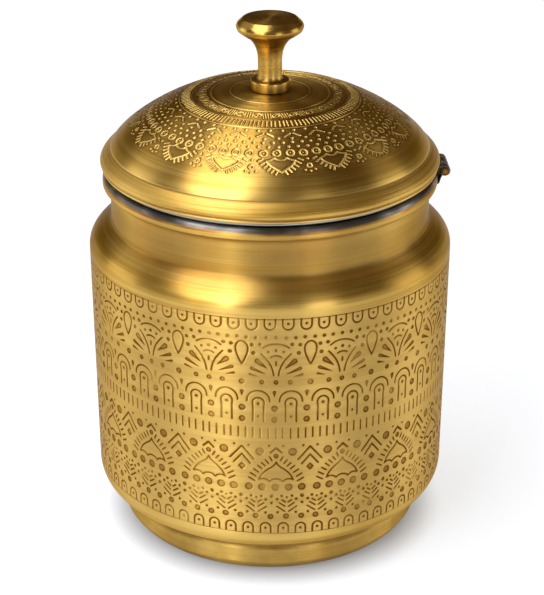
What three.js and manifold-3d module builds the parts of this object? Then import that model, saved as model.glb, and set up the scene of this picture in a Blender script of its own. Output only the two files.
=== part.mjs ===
// A brass ghee pot with a domed lid that is hinged to its lip, and a turned knob.
// Millimetres, +Z up. The origin is the middle of the foot's underside.
// The hinge is at the back (+Y) and its pin lies along X.
import * as THREE from 'three';
import { mergeVertices } from 'three/addons/utils/BufferGeometryUtils.js';
import Module from 'manifold-3d';

const wasm = await Module();
wasm.setup();

// Fits
const GAP = 0.3; // between pieces that touch, are soldered or run on each other
const SEGMENTS = 48; // sides of the large round pieces
const FINE_SEGMENTS = 24; // sides of the knob and its screw
const CUT = 1; // how far a cutting shape reaches past the metal
const EDGE = 0.5; // bevel of the turned edges
const PIN_SEGMENTS = 16; // sides of the hinge's barrel and pin

// Foot
const FOOT_HEIGHT = 12.6;
const FOOT_RADIUS = 50.4; // widest, at the top of the foot's rolled lower edge
const FOOT_TAPER = 0.4; // how much narrower the band is at its upper end
const FOOT_BAND = 9.6; // height of the band
const FOOT_GROOVE = 0.4; // depth of the hollow above the band
const FOOT_SHEET = 1.5;
const FOOT_ROLL = 4; // height of the rolled lower edge
const FOOT_UNDERCUT = 4.2; // how far the roll turns in under the foot
const FOOT_RIM = 2; // width of the rim that the pot stands on
const FOOT_STEP = 0.8; // height of the step between the band and the hollow

// Body
const BELLY_RADIUS = 60;
const BELLY_TAPER = 1; // how much narrower the wall is at its lower end
const BODY_SHEET = 1.2;
const CORNER_HEIGHT = 8.6; // the rounded turn from floor to wall
const CORNER_WIDTH = 7.5;
const WALL_HEIGHT = 77.8;
const SHOULDER_HEIGHT = 9.3;
const NECK_RADIUS = 52.5;
const NECK_HEIGHT = 10.7;
const LIP_OVERHANG = 2.5; // how far the lip stands out from the neck
const LIP_FLARE = 1.8; // height of the lip's underside
const LIP_THICKNESS = 3.6;
const LIP_ROUND = 1.2; // rounding of the lip's upper edges

// Lid
const LID_SHEET = 1;
const BRIM_OVERHANG = 0.7; // how far the brim's roll stands out from the lip
const BEAD_HEIGHT = 1.2; // the small bead along the brim's lower edge
const BEAD_SETBACK = 0.6; // from the roll's widest part to the bead
const BRIM_GROOVE = 0.35; // depth of the turned line between the bead and the roll
const ROLL_HEIGHT = 4.7; // the rounded shoulder of the brim, from the bead to the dome
const ROLL_WIDTH = 2.9;
const CREASE = 0.5; // small step where the roll meets the dome
const DOME_HEIGHT = 18.5;
const FLANK_HEIGHT = 15.4; // height of the dome's steeper outer zone
const CROWN_RADIUS = 30; // radius of its flatter middle
const CROWN_SLOPE = 1 / 3; // rise over run where the two meet
const SEAT_WIDTH = 1.3; // the rolled edge that rests on the lip
const SEAT_SETBACK = 1.6; // from the lip's edge to the seat

// Knob and its fixing
const COLLAR_RADIUS = 6.3;
const COLLAR_HEIGHT = 3.4;
const STEM_RADIUS = 3.9;
const STEM_HEIGHT = 5.9; // from the collar to where the stem starts to flare
const FLARE_HEIGHT = 8.4;
const FLARE_RADIUS = 7.4; // the stem's widest, under the head
const HEAD_RADIUS = 11;
const HEAD_HEIGHT = 6.1;
const HEAD_TOP_RADIUS = 8.9;
const SCREW_RADIUS = 2;
const SCREW_GRIP = 8.6; // length of screw inside the knob
const SCREW_HEAD_RADIUS = 3.6;
const SCREW_HEAD_HEIGHT = 2;
const SLOT_WIDTH = 0.8;
const SLOT_DEPTH = 0.9;
const WASHER_RADIUS = 5;
const WASHER_THICKNESS = 0.8;

// Hinge
const PIN_RADIUS = 0.75;
const PIN_HEAD_RADIUS = 1.25;
const PIN_HEAD = 0.6; // thickness of each hammered end
const LEAF_SHEET = 0.75;
const BARREL_LENGTH = 12;
const WRAP = 150; // degrees, how far a knuckle curls past the level line
const MIDDLE_KNUCKLE = 4;
const BARREL_STAND_OFF = 0.35; // from the lip's edge to the barrel
const STRAP_TAB = 4.4; // height of the strap's tab inside the lid
const STRAP_TAB_WIDTH = 9.6;
const ROOT_WIDTH = 19; // the pot's leaf where it is soldered to the neck
const ROOT_HEIGHT = 2; // how far it reaches down the neck

// Places worked out from the sizes
const bodyBottom = FOOT_HEIGHT + GAP;
const lowerRadius = BELLY_RADIUS - BELLY_TAPER;
const wallBottom = bodyBottom + CORNER_HEIGHT;
const wallTop = wallBottom + WALL_HEIGHT;
const neckBottom = wallTop + SHOULDER_HEIGHT;
const neckTop = neckBottom + NECK_HEIGHT;
const lipRadius = NECK_RADIUS + LIP_OVERHANG;
const lipEdge = neckTop + LIP_FLARE;
const lipTop = lipEdge + LIP_THICKNESS;
const seatBottom = lipTop + GAP;
const knuckleRadius = PIN_RADIUS + GAP + LEAF_SHEET;
const strapTop = seatBottom + GAP + LEAF_SHEET;
const brimBottom = strapTop + GAP;
const brimRadius = lipRadius + BRIM_OVERHANG;
const beadRadius = brimRadius - BEAD_SETBACK;
const beadTop = brimBottom + BEAD_HEIGHT;
const rollTop = beadTop + ROLL_HEIGHT;
const domeBottom = rollTop + CREASE;
const domeRadius = brimRadius - ROLL_WIDTH - CREASE;
const domeTop = domeBottom + DOME_HEIGHT;
const seatOuter = lipRadius - SEAT_SETBACK;
const seatInner = seatOuter - SEAT_WIDTH;
const lidHole = SCREW_RADIUS + GAP;
const washerTop = domeTop - LID_SHEET - GAP;
const screwHeadTop = washerTop - WASHER_THICKNESS - GAP;
const knobBottom = domeTop + GAP;
const pinY = lipRadius + BARREL_STAND_OFF + knuckleRadius;
const pinZ = strapTop - knuckleRadius;
const curlRadius = knuckleRadius - LEAF_SHEET / 2;
const sideKnuckle = (BARREL_LENGTH - MIDDLE_KNUCKLE) / 2 - GAP;
const sideMiddle = MIDDLE_KNUCKLE / 2 + GAP + sideKnuckle / 2;
const tabY = seatInner - GAP - LEAF_SHEET;

const brass = { color: 0xb8892f, metalness: 1, roughness: 0.35 };
const tinned = { color: 0x8d8a84, metalness: 1, roughness: 0.45 };
const steel = { color: 0xa9a9a6, metalness: 1, roughness: 0.4 };

const point = (radius, z) => new THREE.Vector2(radius, z);

// A closed mesh as a solid for cutting and joining. Its shared corners are merged first.
function toSolid(geometry) {
  const bare = geometry.clone();
  bare.deleteAttribute('normal');
  bare.deleteAttribute('uv');
  const merged = mergeVertices(bare, 1e-4);
  const corners = merged.index.array;
  const triangles = [];
  for (let i = 0; i < corners.length; i += 3) {
    const [a, b, c] = [corners[i], corners[i + 1], corners[i + 2]];
    if (a !== b && b !== c && c !== a) triangles.push(a, b, c);
  }
  return new wasm.Manifold(new wasm.Mesh({
    numProp: 3,
    vertProperties: Float32Array.from(merged.attributes.position.array),
    triVerts: Uint32Array.from(triangles),
  }));
}

function toGeometry(solid) {
  const mesh = solid.getMesh();
  const geometry = new THREE.BufferGeometry();
  geometry.setAttribute('position', new THREE.BufferAttribute(Float32Array.from(mesh.vertProperties), 3));
  geometry.setIndex(new THREE.BufferAttribute(Uint32Array.from(mesh.triVerts), 1));
  return geometry;
}

// Turns an outline of radius and height about the pot's axis. The outline runs anticlockwise.
function turned(outline, segments) {
  return new THREE.LatheGeometry(outline, segments).rotateX(Math.PI / 2);
}

// Extrudes an outline drawn in (Y, Z) along X, centred on x = middle.
function alongX(outline, width, middle = 0) {
  const geometry = new THREE.ExtrudeGeometry(new THREE.Shape(outline), { depth: width, bevelEnabled: false });
  const axes = new THREE.Matrix4().makeBasis(
    new THREE.Vector3(0, 1, 0),
    new THREE.Vector3(0, 0, 1),
    new THREE.Vector3(1, 0, 0),
  );
  return geometry.translate(0, 0, -width / 2).applyMatrix4(axes).translate(middle, 0, 0);
}

// A block between two corners.
function block(low, high) {
  const size = high.map((v, i) => v - low[i]);
  const centre = high.map((v, i) => (v + low[i]) / 2);
  return new THREE.BoxGeometry(...size).translate(...centre);
}

// A round bar along X on the hinge's axis.
function hingeBar(radius, width, middle = 0) {
  return new THREE.CylinderGeometry(radius, radius, width, PIN_SEGMENTS)
    .rotateZ(Math.PI / 2)
    .translate(middle, pinY, pinZ);
}

// The line at a distance to the left of a line of points.
function offset(points, distance) {
  return points.map((p, i) => {
    const before = points[Math.max(i - 1, 0)];
    const after = points[Math.min(i + 1, points.length - 1)];
    const along = after.clone().sub(before).normalize();
    return point(p.x - along.y * distance, p.y + along.x * distance);
  });
}

// The outline of a sheet whose middle follows a line of points.
function ribbon(points, thickness) {
  const left = offset(points, thickness / 2);
  const right = offset(points, -thickness / 2);
  return [...right, ...left.reverse()];
}

// Points on the hinge's axis circle, from one angle to another in degrees. 0 points away from the pot.
function curl(radius, from, to, steps) {
  return Array.from({ length: steps + 1 }, (_, i) => {
    const angle = THREE.MathUtils.degToRad(from + ((to - from) * i) / steps);
    return point(pinY + radius * Math.cos(angle), pinZ + radius * Math.sin(angle));
  });
}

function piece(name, geometry, finish) {
  const mesh = new THREE.Mesh(geometry, new THREE.MeshStandardMaterial(finish));
  mesh.name = name;
  return mesh;
}

// Foot: a band with a rolled lower edge, a hollow line above the band and a flange under the floor.
function footRing() {
  const stand = FOOT_RADIUS - FOOT_UNDERCUT;
  const inside = stand - FOOT_RIM;
  const upper = FOOT_RADIUS - FOOT_TAPER;
  const hollow = upper - FOOT_GROOVE;
  const flange = FOOT_HEIGHT - FOOT_SHEET;
  const roll = new THREE.QuadraticBezierCurve(
    point(stand, 0),
    point(stand + FOOT_UNDERCUT * 0.48, FOOT_ROLL * 0.15),
    point(FOOT_RADIUS, FOOT_ROLL),
  );
  const outline = [
    point(inside, EDGE),
    point(inside + EDGE, 0),
    ...roll.getPoints(4),
    point(upper, FOOT_BAND - FOOT_STEP),
    point(hollow, FOOT_BAND),
    point(hollow, FOOT_BAND + FOOT_STEP),
    point(FOOT_RADIUS + FOOT_GROOVE, FOOT_HEIGHT),
    point(inside, FOOT_HEIGHT),
    point(inside, flange),
    point(hollow - FOOT_SHEET, flange),
    point(upper - FOOT_SHEET, FOOT_ROLL + FOOT_STEP),
    point(inside, FOOT_ROLL),
    point(inside, EDGE),
  ];
  return turned(outline, SEGMENTS);
}

// The body's outside from the middle of the floor to the top of the neck.
function bodyOutside() {
  const path = new THREE.Path();
  path.moveTo(0, bodyBottom);
  path.lineTo(lowerRadius - CORNER_WIDTH, bodyBottom);
  path.bezierCurveTo(
    lowerRadius - CORNER_WIDTH * 0.37, bodyBottom + CORNER_HEIGHT * 0.06,
    lowerRadius, bodyBottom + CORNER_HEIGHT * 0.38,
    lowerRadius, wallBottom,
  );
  path.lineTo(BELLY_RADIUS, wallTop);
  path.bezierCurveTo(
    BELLY_RADIUS, wallTop + SHOULDER_HEIGHT * 0.62,
    NECK_RADIUS, neckBottom - SHOULDER_HEIGHT * 0.2,
    NECK_RADIUS, neckBottom,
  );
  path.lineTo(NECK_RADIUS, neckTop);
  return path.getPoints(7);
}

// The lip's underside, from the neck to its edge.
function lipUnderside(steps) {
  const curve = new THREE.QuadraticBezierCurve(
    point(NECK_RADIUS, neckTop),
    point(NECK_RADIUS + LIP_OVERHANG * 0.2, neckTop + LIP_FLARE * 0.75),
    point(lipRadius, lipEdge),
  );
  return curve.getPoints(steps);
}

// Body: one sheet, closed by the rounded top of its lip.
function potBody() {
  const outside = bodyOutside();
  const inside = offset(outside, BODY_SHEET).reverse();
  inside[inside.length - 1].x = 0;
  const mouth = NECK_RADIUS - BODY_SHEET;
  const lip = [
    ...lipUnderside(3).slice(1),
    point(lipRadius, lipEdge + LIP_THICKNESS * 0.38),
    point(lipRadius - LIP_ROUND * 0.4, lipTop - LIP_THICKNESS * 0.2),
    point(lipRadius - LIP_ROUND, lipTop),
    point(mouth + LIP_ROUND, lipTop),
    point(mouth + LIP_ROUND * 0.25, lipTop - LIP_THICKNESS * 0.3),
    point(mouth, lipEdge),
  ];
  return turned([...outside, ...lip, ...inside], SEGMENTS);
}

// The lid's outside from the brim's roll to the hole for the screw.
// The dome rises from a crease behind the roll.
function lidOutside() {
  const crown = domeBottom + FLANK_HEIGHT;
  const flank = domeRadius - CROWN_RADIUS;
  const path = new THREE.Path();
  path.moveTo(beadRadius, beadTop + BRIM_GROOVE);
  path.bezierCurveTo(
    brimRadius + BEAD_SETBACK * 1.5, beadTop + ROLL_HEIGHT * 0.25,
    brimRadius - ROLL_WIDTH * 0.45, beadTop + ROLL_HEIGHT * 0.75,
    brimRadius - ROLL_WIDTH, rollTop,
  );
  path.lineTo(domeRadius, domeBottom);
  path.bezierCurveTo(
    domeRadius - flank * 0.09, domeBottom + FLANK_HEIGHT * 0.3,
    CROWN_RADIUS + flank * 0.34, crown - flank * 0.34 * CROWN_SLOPE,
    CROWN_RADIUS, crown,
  );
  path.bezierCurveTo(
    CROWN_RADIUS * 0.73, crown + CROWN_RADIUS * 0.27 * CROWN_SLOPE,
    CROWN_RADIUS * 0.33, domeTop,
    lidHole, domeTop,
  );
  return path.getPoints(6);
}

// Lid: one sheet with a beaded edge. Its rolled seat is notched where the hinge's strap passes under it.
function lidDome() {
  const outside = lidOutside();
  const inside = offset(outside, LID_SHEET).reverse();
  inside[0].set(lidHole, domeTop - LID_SHEET);
  const wall = inside.filter((p) => p.y > beadTop + LID_SHEET);
  const outline = [
    point(seatInner, seatBottom),
    point(seatOuter, seatBottom),
    point(seatOuter, brimBottom),
    point(beadRadius - EDGE, brimBottom),
    point(beadRadius, brimBottom + EDGE),
    point(beadRadius, beadTop - BRIM_GROOVE),
    point(beadRadius - BRIM_GROOVE, beadTop),
    ...outside,
    ...wall,
    point(seatInner, beadTop),
    point(seatInner, seatBottom),
  ];
  const half = BARREL_LENGTH / 2 + GAP;
  const notch = block([-half, seatInner - CUT, seatBottom - CUT], [half, brimRadius + CUT, brimBottom]);
  return toGeometry(toSolid(turned(outline, SEGMENTS)).subtract(toSolid(notch)));
}

// Knob: collar, slim stem that flares under the head, and a bevelled head with a flat top.
function knob() {
  const bore = knobBottom + SCREW_GRIP + GAP;
  const collarTop = knobBottom + COLLAR_HEIGHT;
  const flareBottom = collarTop + STEM_HEIGHT;
  const headBottom = flareBottom + FLARE_HEIGHT;
  const top = headBottom + HEAD_HEIGHT;
  const path = new THREE.Path();
  path.moveTo(0, bore);
  path.lineTo(lidHole, bore);
  path.lineTo(lidHole, knobBottom);
  path.lineTo(COLLAR_RADIUS - EDGE, knobBottom);
  path.lineTo(COLLAR_RADIUS, knobBottom + EDGE);
  path.lineTo(COLLAR_RADIUS, collarTop - EDGE);
  path.lineTo(COLLAR_RADIUS - EDGE, collarTop);
  path.quadraticCurveTo(STEM_RADIUS, collarTop, STEM_RADIUS, collarTop + STEM_HEIGHT * 0.32);
  path.lineTo(STEM_RADIUS, flareBottom);
  path.bezierCurveTo(
    STEM_RADIUS, flareBottom + FLARE_HEIGHT * 0.45,
    STEM_RADIUS + (FLARE_RADIUS - STEM_RADIUS) * 0.3, headBottom - FLARE_HEIGHT * 0.25,
    FLARE_RADIUS, headBottom,
  );
  path.lineTo(FLARE_RADIUS + EDGE, headBottom + EDGE / 2);
  path.lineTo(HEAD_RADIUS - EDGE, headBottom + HEAD_HEIGHT * 0.33);
  path.lineTo(HEAD_RADIUS, headBottom + HEAD_HEIGHT * 0.55);
  path.lineTo(HEAD_RADIUS - EDGE, headBottom + HEAD_HEIGHT * 0.72);
  path.lineTo(HEAD_TOP_RADIUS + EDGE / 2, top - EDGE / 2);
  path.lineTo(HEAD_TOP_RADIUS, top);
  path.lineTo(0, top);
  return turned(path.getPoints(5), FINE_SEGMENTS);
}

// The screw comes up from inside the lid through the washer. Its head has a slot across it.
function knobScrew() {
  const headBottom = screwHeadTop - SCREW_HEAD_HEIGHT;
  const outline = [
    point(0, headBottom),
    point(SCREW_HEAD_RADIUS - EDGE, headBottom),
    point(SCREW_HEAD_RADIUS, headBottom + EDGE),
    point(SCREW_HEAD_RADIUS, screwHeadTop),
    point(SCREW_RADIUS, screwHeadTop),
    point(SCREW_RADIUS, knobBottom + SCREW_GRIP - EDGE),
    point(SCREW_RADIUS - EDGE, knobBottom + SCREW_GRIP),
    point(0, knobBottom + SCREW_GRIP),
  ];
  const reach = SCREW_HEAD_RADIUS + CUT;
  const slot = block(
    [-reach, -SLOT_WIDTH / 2, headBottom - CUT],
    [reach, SLOT_WIDTH / 2, headBottom + SLOT_DEPTH],
  );
  return toGeometry(toSolid(turned(outline, FINE_SEGMENTS)).subtract(toSolid(slot)));
}

function knobWasher() {
  const low = washerTop - WASHER_THICKNESS;
  const outline = [
    point(lidHole, low),
    point(WASHER_RADIUS, low),
    point(WASHER_RADIUS, washerTop),
    point(lidHole, washerTop),
    point(lidHole, low),
  ];
  return turned(outline, FINE_SEGMENTS);
}

// Lid's leaf: a strap under the brim with a tab up inside the lid. It curls down round the pin at both sides.
function lidHingeLeaf() {
  const strapZ = strapTop - LEAF_SHEET / 2;
  const section = [...curl(curlRadius, -WRAP, 90, 12), point(tabY, strapZ)];
  const strap = toSolid(alongX(ribbon(section, LEAF_SHEET), BARREL_LENGTH));
  const low = strapTop - LEAF_SHEET;
  const half = STRAP_TAB_WIDTH / 2;
  const tab = block([-half, tabY - LEAF_SHEET / 2, low], [half, tabY + LEAF_SHEET / 2, low + STRAP_TAB]);
  const room = toSolid(hingeBar(knuckleRadius + GAP, MIDDLE_KNUCKLE + 2 * GAP));
  return toGeometry(strap.add(toSolid(tab)).subtract(room));
}

// Pot's leaf: follows the neck and the lip's underside, narrows outwards and curls up round the pin.
function potHingeLeaf() {
  const clear = GAP + LEAF_SHEET / 2;
  const under = offset(lipUnderside(3), -clear);
  const root = [
    point(NECK_RADIUS + clear, neckTop - ROOT_HEIGHT),
    ...under.map((p) => point(Math.max(p.x, NECK_RADIUS + clear), p.y)),
    point(pinY - curlRadius * 0.6, pinZ - curlRadius),
  ];
  const sheet = ribbon(root, LEAF_SHEET);
  const ring = toSolid(turned([...sheet, sheet[0]], SEGMENTS * 2));
  const half = ROOT_WIDTH / 2;
  const narrow = MIDDLE_KNUCKLE / 2;
  const rootY = NECK_RADIUS + LIP_OVERHANG / 2;
  const plan = new THREE.Shape([
    point(-half, 0),
    point(half, 0),
    point(half, rootY),
    point(narrow, pinY),
    point(-narrow, pinY),
    point(-half, rootY),
  ]);
  const wedge = new THREE.ExtrudeGeometry(plan, { depth: lipTop, bevelEnabled: false });
  const section = [...under.slice(-1), ...curl(curlRadius, -90, WRAP, 12)];
  const knuckle = toSolid(alongX(ribbon(section, LEAF_SHEET), MIDDLE_KNUCKLE));
  let leaf = ring.intersect(toSolid(wedge));
  for (const side of [-1, 1]) {
    const width = sideKnuckle + 2 * GAP;
    leaf = leaf.subtract(toSolid(hingeBar(knuckleRadius + GAP, width, side * sideMiddle)));
  }
  const bore = toSolid(hingeBar(PIN_RADIUS + GAP, MIDDLE_KNUCKLE + 2 * CUT));
  return toGeometry(leaf.add(knuckle).subtract(bore));
}

// Pin, with both ends hammered over.
function hingePin() {
  const half = BARREL_LENGTH / 2 + GAP;
  const outline = [
    point(0, -half - PIN_HEAD),
    point(PIN_HEAD_RADIUS * 0.7, -half - PIN_HEAD),
    point(PIN_HEAD_RADIUS, -half - PIN_HEAD * 0.4),
    point(PIN_HEAD_RADIUS, -half),
    point(PIN_RADIUS, -half),
    point(PIN_RADIUS, half),
    point(PIN_HEAD_RADIUS, half),
    point(PIN_HEAD_RADIUS, half + PIN_HEAD * 0.4),
    point(PIN_HEAD_RADIUS * 0.7, half + PIN_HEAD),
    point(0, half + PIN_HEAD),
  ];
  return new THREE.LatheGeometry(outline, PIN_SEGMENTS).rotateZ(-Math.PI / 2).translate(0, pinY, pinZ);
}

const pot = new THREE.Group();
pot.add(
  piece('pot_body', potBody(), brass),
  piece('foot_ring', footRing(), brass),
  piece('pot_hinge_leaf', potHingeLeaf(), tinned),
  piece('hinge_pin', hingePin(), brass),
);

const lid = new THREE.Group();
lid.add(
  piece('lid_dome', lidDome(), brass),
  piece('knob', knob(), brass),
  piece('knob_screw', knobScrew(), steel),
  piece('knob_washer', knobWasher(), steel),
  piece('lid_hinge_leaf', lidHingeLeaf(), tinned),
);

const gheePot = new THREE.Group();
gheePot.add(pot, lid);

export default gheePot;
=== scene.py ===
# %% [markdown]
# # A brass ghee pot
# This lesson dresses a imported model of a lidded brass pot. The pot is spun on a lathe from sheet, stands on
# a spun foot, and has a domed lid that swings on a small pin hinge. Bands of pressed ornament run round the
# wall, and more of it covers the dome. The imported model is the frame: every new surface goes where it says.

# %% Load the frame
import math

import bpy
import numpy as np
from mathutils import Matrix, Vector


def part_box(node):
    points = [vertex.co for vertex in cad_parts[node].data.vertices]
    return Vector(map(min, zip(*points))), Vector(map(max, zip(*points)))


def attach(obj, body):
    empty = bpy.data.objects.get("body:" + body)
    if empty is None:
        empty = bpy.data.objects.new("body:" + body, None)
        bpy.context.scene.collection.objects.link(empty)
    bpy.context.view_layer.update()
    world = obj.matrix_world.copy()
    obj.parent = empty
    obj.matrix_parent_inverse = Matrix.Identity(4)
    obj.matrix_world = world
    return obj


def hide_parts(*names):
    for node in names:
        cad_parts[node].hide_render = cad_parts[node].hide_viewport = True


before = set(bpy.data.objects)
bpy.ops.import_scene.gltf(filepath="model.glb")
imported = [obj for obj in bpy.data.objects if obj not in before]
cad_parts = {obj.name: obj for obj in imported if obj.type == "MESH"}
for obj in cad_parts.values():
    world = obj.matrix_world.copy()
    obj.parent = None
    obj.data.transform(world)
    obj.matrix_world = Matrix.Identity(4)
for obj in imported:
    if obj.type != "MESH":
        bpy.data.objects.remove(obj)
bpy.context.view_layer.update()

print("nodes:", sorted(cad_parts))

# %% [markdown]
# ## Camera
# The picture looks down on the pot by about 24 degrees from 0.68 m. The hinge shows at the right edge, so
# the camera stands a little less than a quarter turn round from the front of the hinge. Blender measures a
# lens against a 36 mm sensor along the picture's longer side, so a focal length in pixels turns into
# millimetres through the picture's height.

# %% Camera
PICTURE_WIDTH, PICTURE_HEIGHT = 544, 595
CAMERA_AZIMUTH = math.radians(87)
CAMERA_ELEVATION = math.radians(24.3)
CAMERA_DISTANCE = 0.680
TARGET_HEIGHT = 0.07745
FOCAL_PIXELS = 2009.4
AXIS_PIXEL = 270  # the column that the pot's axis lies on
SENSOR = 36

camera_data = bpy.data.cameras.new("camera")
camera = bpy.data.objects.new("camera", camera_data)
bpy.context.scene.collection.objects.link(camera)
level = math.cos(CAMERA_ELEVATION)
camera.location = (
    CAMERA_DISTANCE * math.sin(CAMERA_AZIMUTH) * level,
    -CAMERA_DISTANCE * math.cos(CAMERA_AZIMUTH) * level,
    TARGET_HEIGHT + CAMERA_DISTANCE * math.sin(CAMERA_ELEVATION),
)
camera.rotation_euler = (math.pi / 2 - CAMERA_ELEVATION, 0, CAMERA_AZIMUTH)
camera_data.lens = FOCAL_PIXELS * SENSOR / PICTURE_HEIGHT
camera_data.shift_x = (PICTURE_WIDTH / 2 - AXIS_PIXEL) / PICTURE_HEIGHT
bpy.context.scene.camera = camera
print("lens %.1f mm" % camera_data.lens)

# %% [markdown]
# ## Sizes
# The shapes below are worked out in millimetres, as a metalworker would, and turned into metres when a mesh
# is made. What the frame says is read from it. The rest repeats the sizes of the solids, so that each
# surface lies on its solid.

# %% Sizes
MM = 0.001


def span(node):
    """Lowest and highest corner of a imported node, in millimetres."""
    low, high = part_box(node)
    return np.array(low) / MM, np.array(high) / MM


body_low, body_high = span("pot_body")
foot_high = span("foot_ring")[1]
lid_low, lid_high = span("lid_dome")
knob_low, knob_high = span("knob")
pin_low, pin_high = span("hinge_pin")

BELLY = body_high[0]
BELLY_TAPER = 1
LOWER_WALL = BELLY - BELLY_TAPER
BODY_SHEET = 1.2
CORNER_WIDTH, CORNER_HEIGHT = 7.5, 8.6
WALL_HEIGHT = 77.8
SHOULDER_HEIGHT = 9.3
NECK = 52.5
NECK_HEIGHT = 10.7
LIP_OVERHANG = 2.5
LIP = NECK + LIP_OVERHANG
LIP_FLARE = 1.8
LIP_ROUND = 1.2
floor_z = body_low[2]
lip_top = body_high[2]
wall_bottom = floor_z + CORNER_HEIGHT
wall_top = wall_bottom + WALL_HEIGHT
neck_bottom = wall_top + SHOULDER_HEIGHT
neck_top = neck_bottom + NECK_HEIGHT
lip_edge = neck_top + LIP_FLARE

LID_SHEET = 1
LID_HOLE = 2.3
BRIM_OVERHANG = 0.7
BRIM = LIP + BRIM_OVERHANG
BEAD_SETBACK = 0.6
BEAD = BRIM - BEAD_SETBACK
BEAD_HEIGHT = 1.2
ROLL_WIDTH, ROLL_HEIGHT = 2.9, 4.7
CREASE = 0.5
DOME_HEIGHT = 18.5
FLANK_HEIGHT = 15.4
CROWN = 30
CROWN_SLOPE = 1 / 3
SEAT_SETBACK, SEAT_WIDTH = 1.6, 1.3
SEAT_OUTER = LIP - SEAT_SETBACK
SEAT_INNER = SEAT_OUTER - SEAT_WIDTH
seat_bottom = lid_low[2]
dome_top = lid_high[2]
dome_bottom = dome_top - DOME_HEIGHT
roll_top = dome_bottom - CREASE
bead_top = roll_top - ROLL_HEIGHT
brim_bottom = bead_top - BEAD_HEIGHT
dome_radius = BRIM - ROLL_WIDTH - CREASE

pin_y = (pin_low[1] + pin_high[1]) / 2
pin_z = (pin_low[2] + pin_high[2]) / 2
front = CAMERA_AZIMUTH - math.pi / 2  # the side that the picture shows, as an angle from +X
print("wall from %.1f to %.1f mm" % (wall_bottom, wall_top))
print("lip at %.1f mm, dome's top at %.1f mm" % (lip_top, dome_top))

# %% [markdown]
# ## Outlines
# A turned piece is an outline of radius and height, carried round the axis. Outlines are made from straight
# runs, Bezier curves and small rounded corners, all as arrays of points.

# %% Outline helpers
NEARLY_HALF = 0.48  # the most of a run that the curve at one of its ends takes up
SAME_POINT = 1e-4


def bezier(points, steps):
    """Points on a Bezier curve: its control points' neighbours are mixed by a share t until one is left."""
    t = np.linspace(0, 1, steps)[:, None, None]
    mixed = np.broadcast_to(np.array(points, float), (steps, len(points), 2))
    while mixed.shape[1] > 1:
        mixed = mixed[:, :-1] * (1 - t) + mixed[:, 1:] * t
    return mixed[:, 0]


def rounded(points, reach, steps=5):
    """A line of points with short curves in place of its inner corners. A curve starts and ends reach before
    and after its corner, or halfway along a shorter run."""
    points = np.array(points, float)
    out = [points[:1]]
    for before, corner, after in zip(points[:-2], points[1:-1], points[2:]):
        to_before, to_after = before - corner, after - corner
        near, far = np.linalg.norm(to_before), np.linalg.norm(to_after)
        start = corner + to_before * min(reach / near, NEARLY_HALF)
        end = corner + to_after * min(reach / far, NEARLY_HALF)
        out.append(bezier([start, corner, end], steps))
    return np.concatenate(out + [points[-1:]])


def chain(*runs):
    """Runs of points as one outline, without doubled points."""
    points = np.concatenate([np.atleast_2d(np.array(run, float)) for run in runs])
    step = np.linalg.norm(np.diff(points, axis=0), axis=1)
    return points[np.concatenate([[True], step > SAME_POINT])]


def travelled(outline):
    """Distance along an outline at each of its points."""
    return np.concatenate([[0], np.cumsum(np.linalg.norm(np.diff(outline, axis=0), axis=1))])


def sampled(outline, places):
    """Points of an outline at given distances along it."""
    run = travelled(outline)
    return np.stack([np.interp(places, run, outline[:, i]) for i in (0, 1)], axis=1)


def outward(outline):
    """Unit normals of an outline drawn with the metal on its left: its direction turned to the right."""
    direction = np.gradient(outline, axis=0)
    direction /= np.linalg.norm(direction, axis=1)[:, None]
    return np.stack([direction[:, 1], -direction[:, 0]], axis=1)


# %% [markdown]
# ## Meshes from grids
# One function turns a grid of points into a closed mesh. Its columns run round the axis and always join up.
# Its rows follow the outline and join up too, unless the outline starts and ends on the axis, where a row
# shrinks to one point. If the mesh turns out inside out, its faces are turned round.

# %% Grid to mesh
SHARP_TURN = math.radians(38)
ON_AXIS = 1e-6


def face_corners(rows, columns, wrap):
    """Corner numbers of every face between neighbouring rows and columns, four to a face."""
    top = np.arange(rows if wrap else rows - 1)
    r0, c0 = np.meshgrid(top, np.arange(columns), indexing="ij")
    r1, c1 = (r0 + 1) % rows, (c0 + 1) % columns
    return np.stack([r0 * columns + c0, r0 * columns + c1, r1 * columns + c1, r1 * columns + c0], axis=-1)


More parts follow.
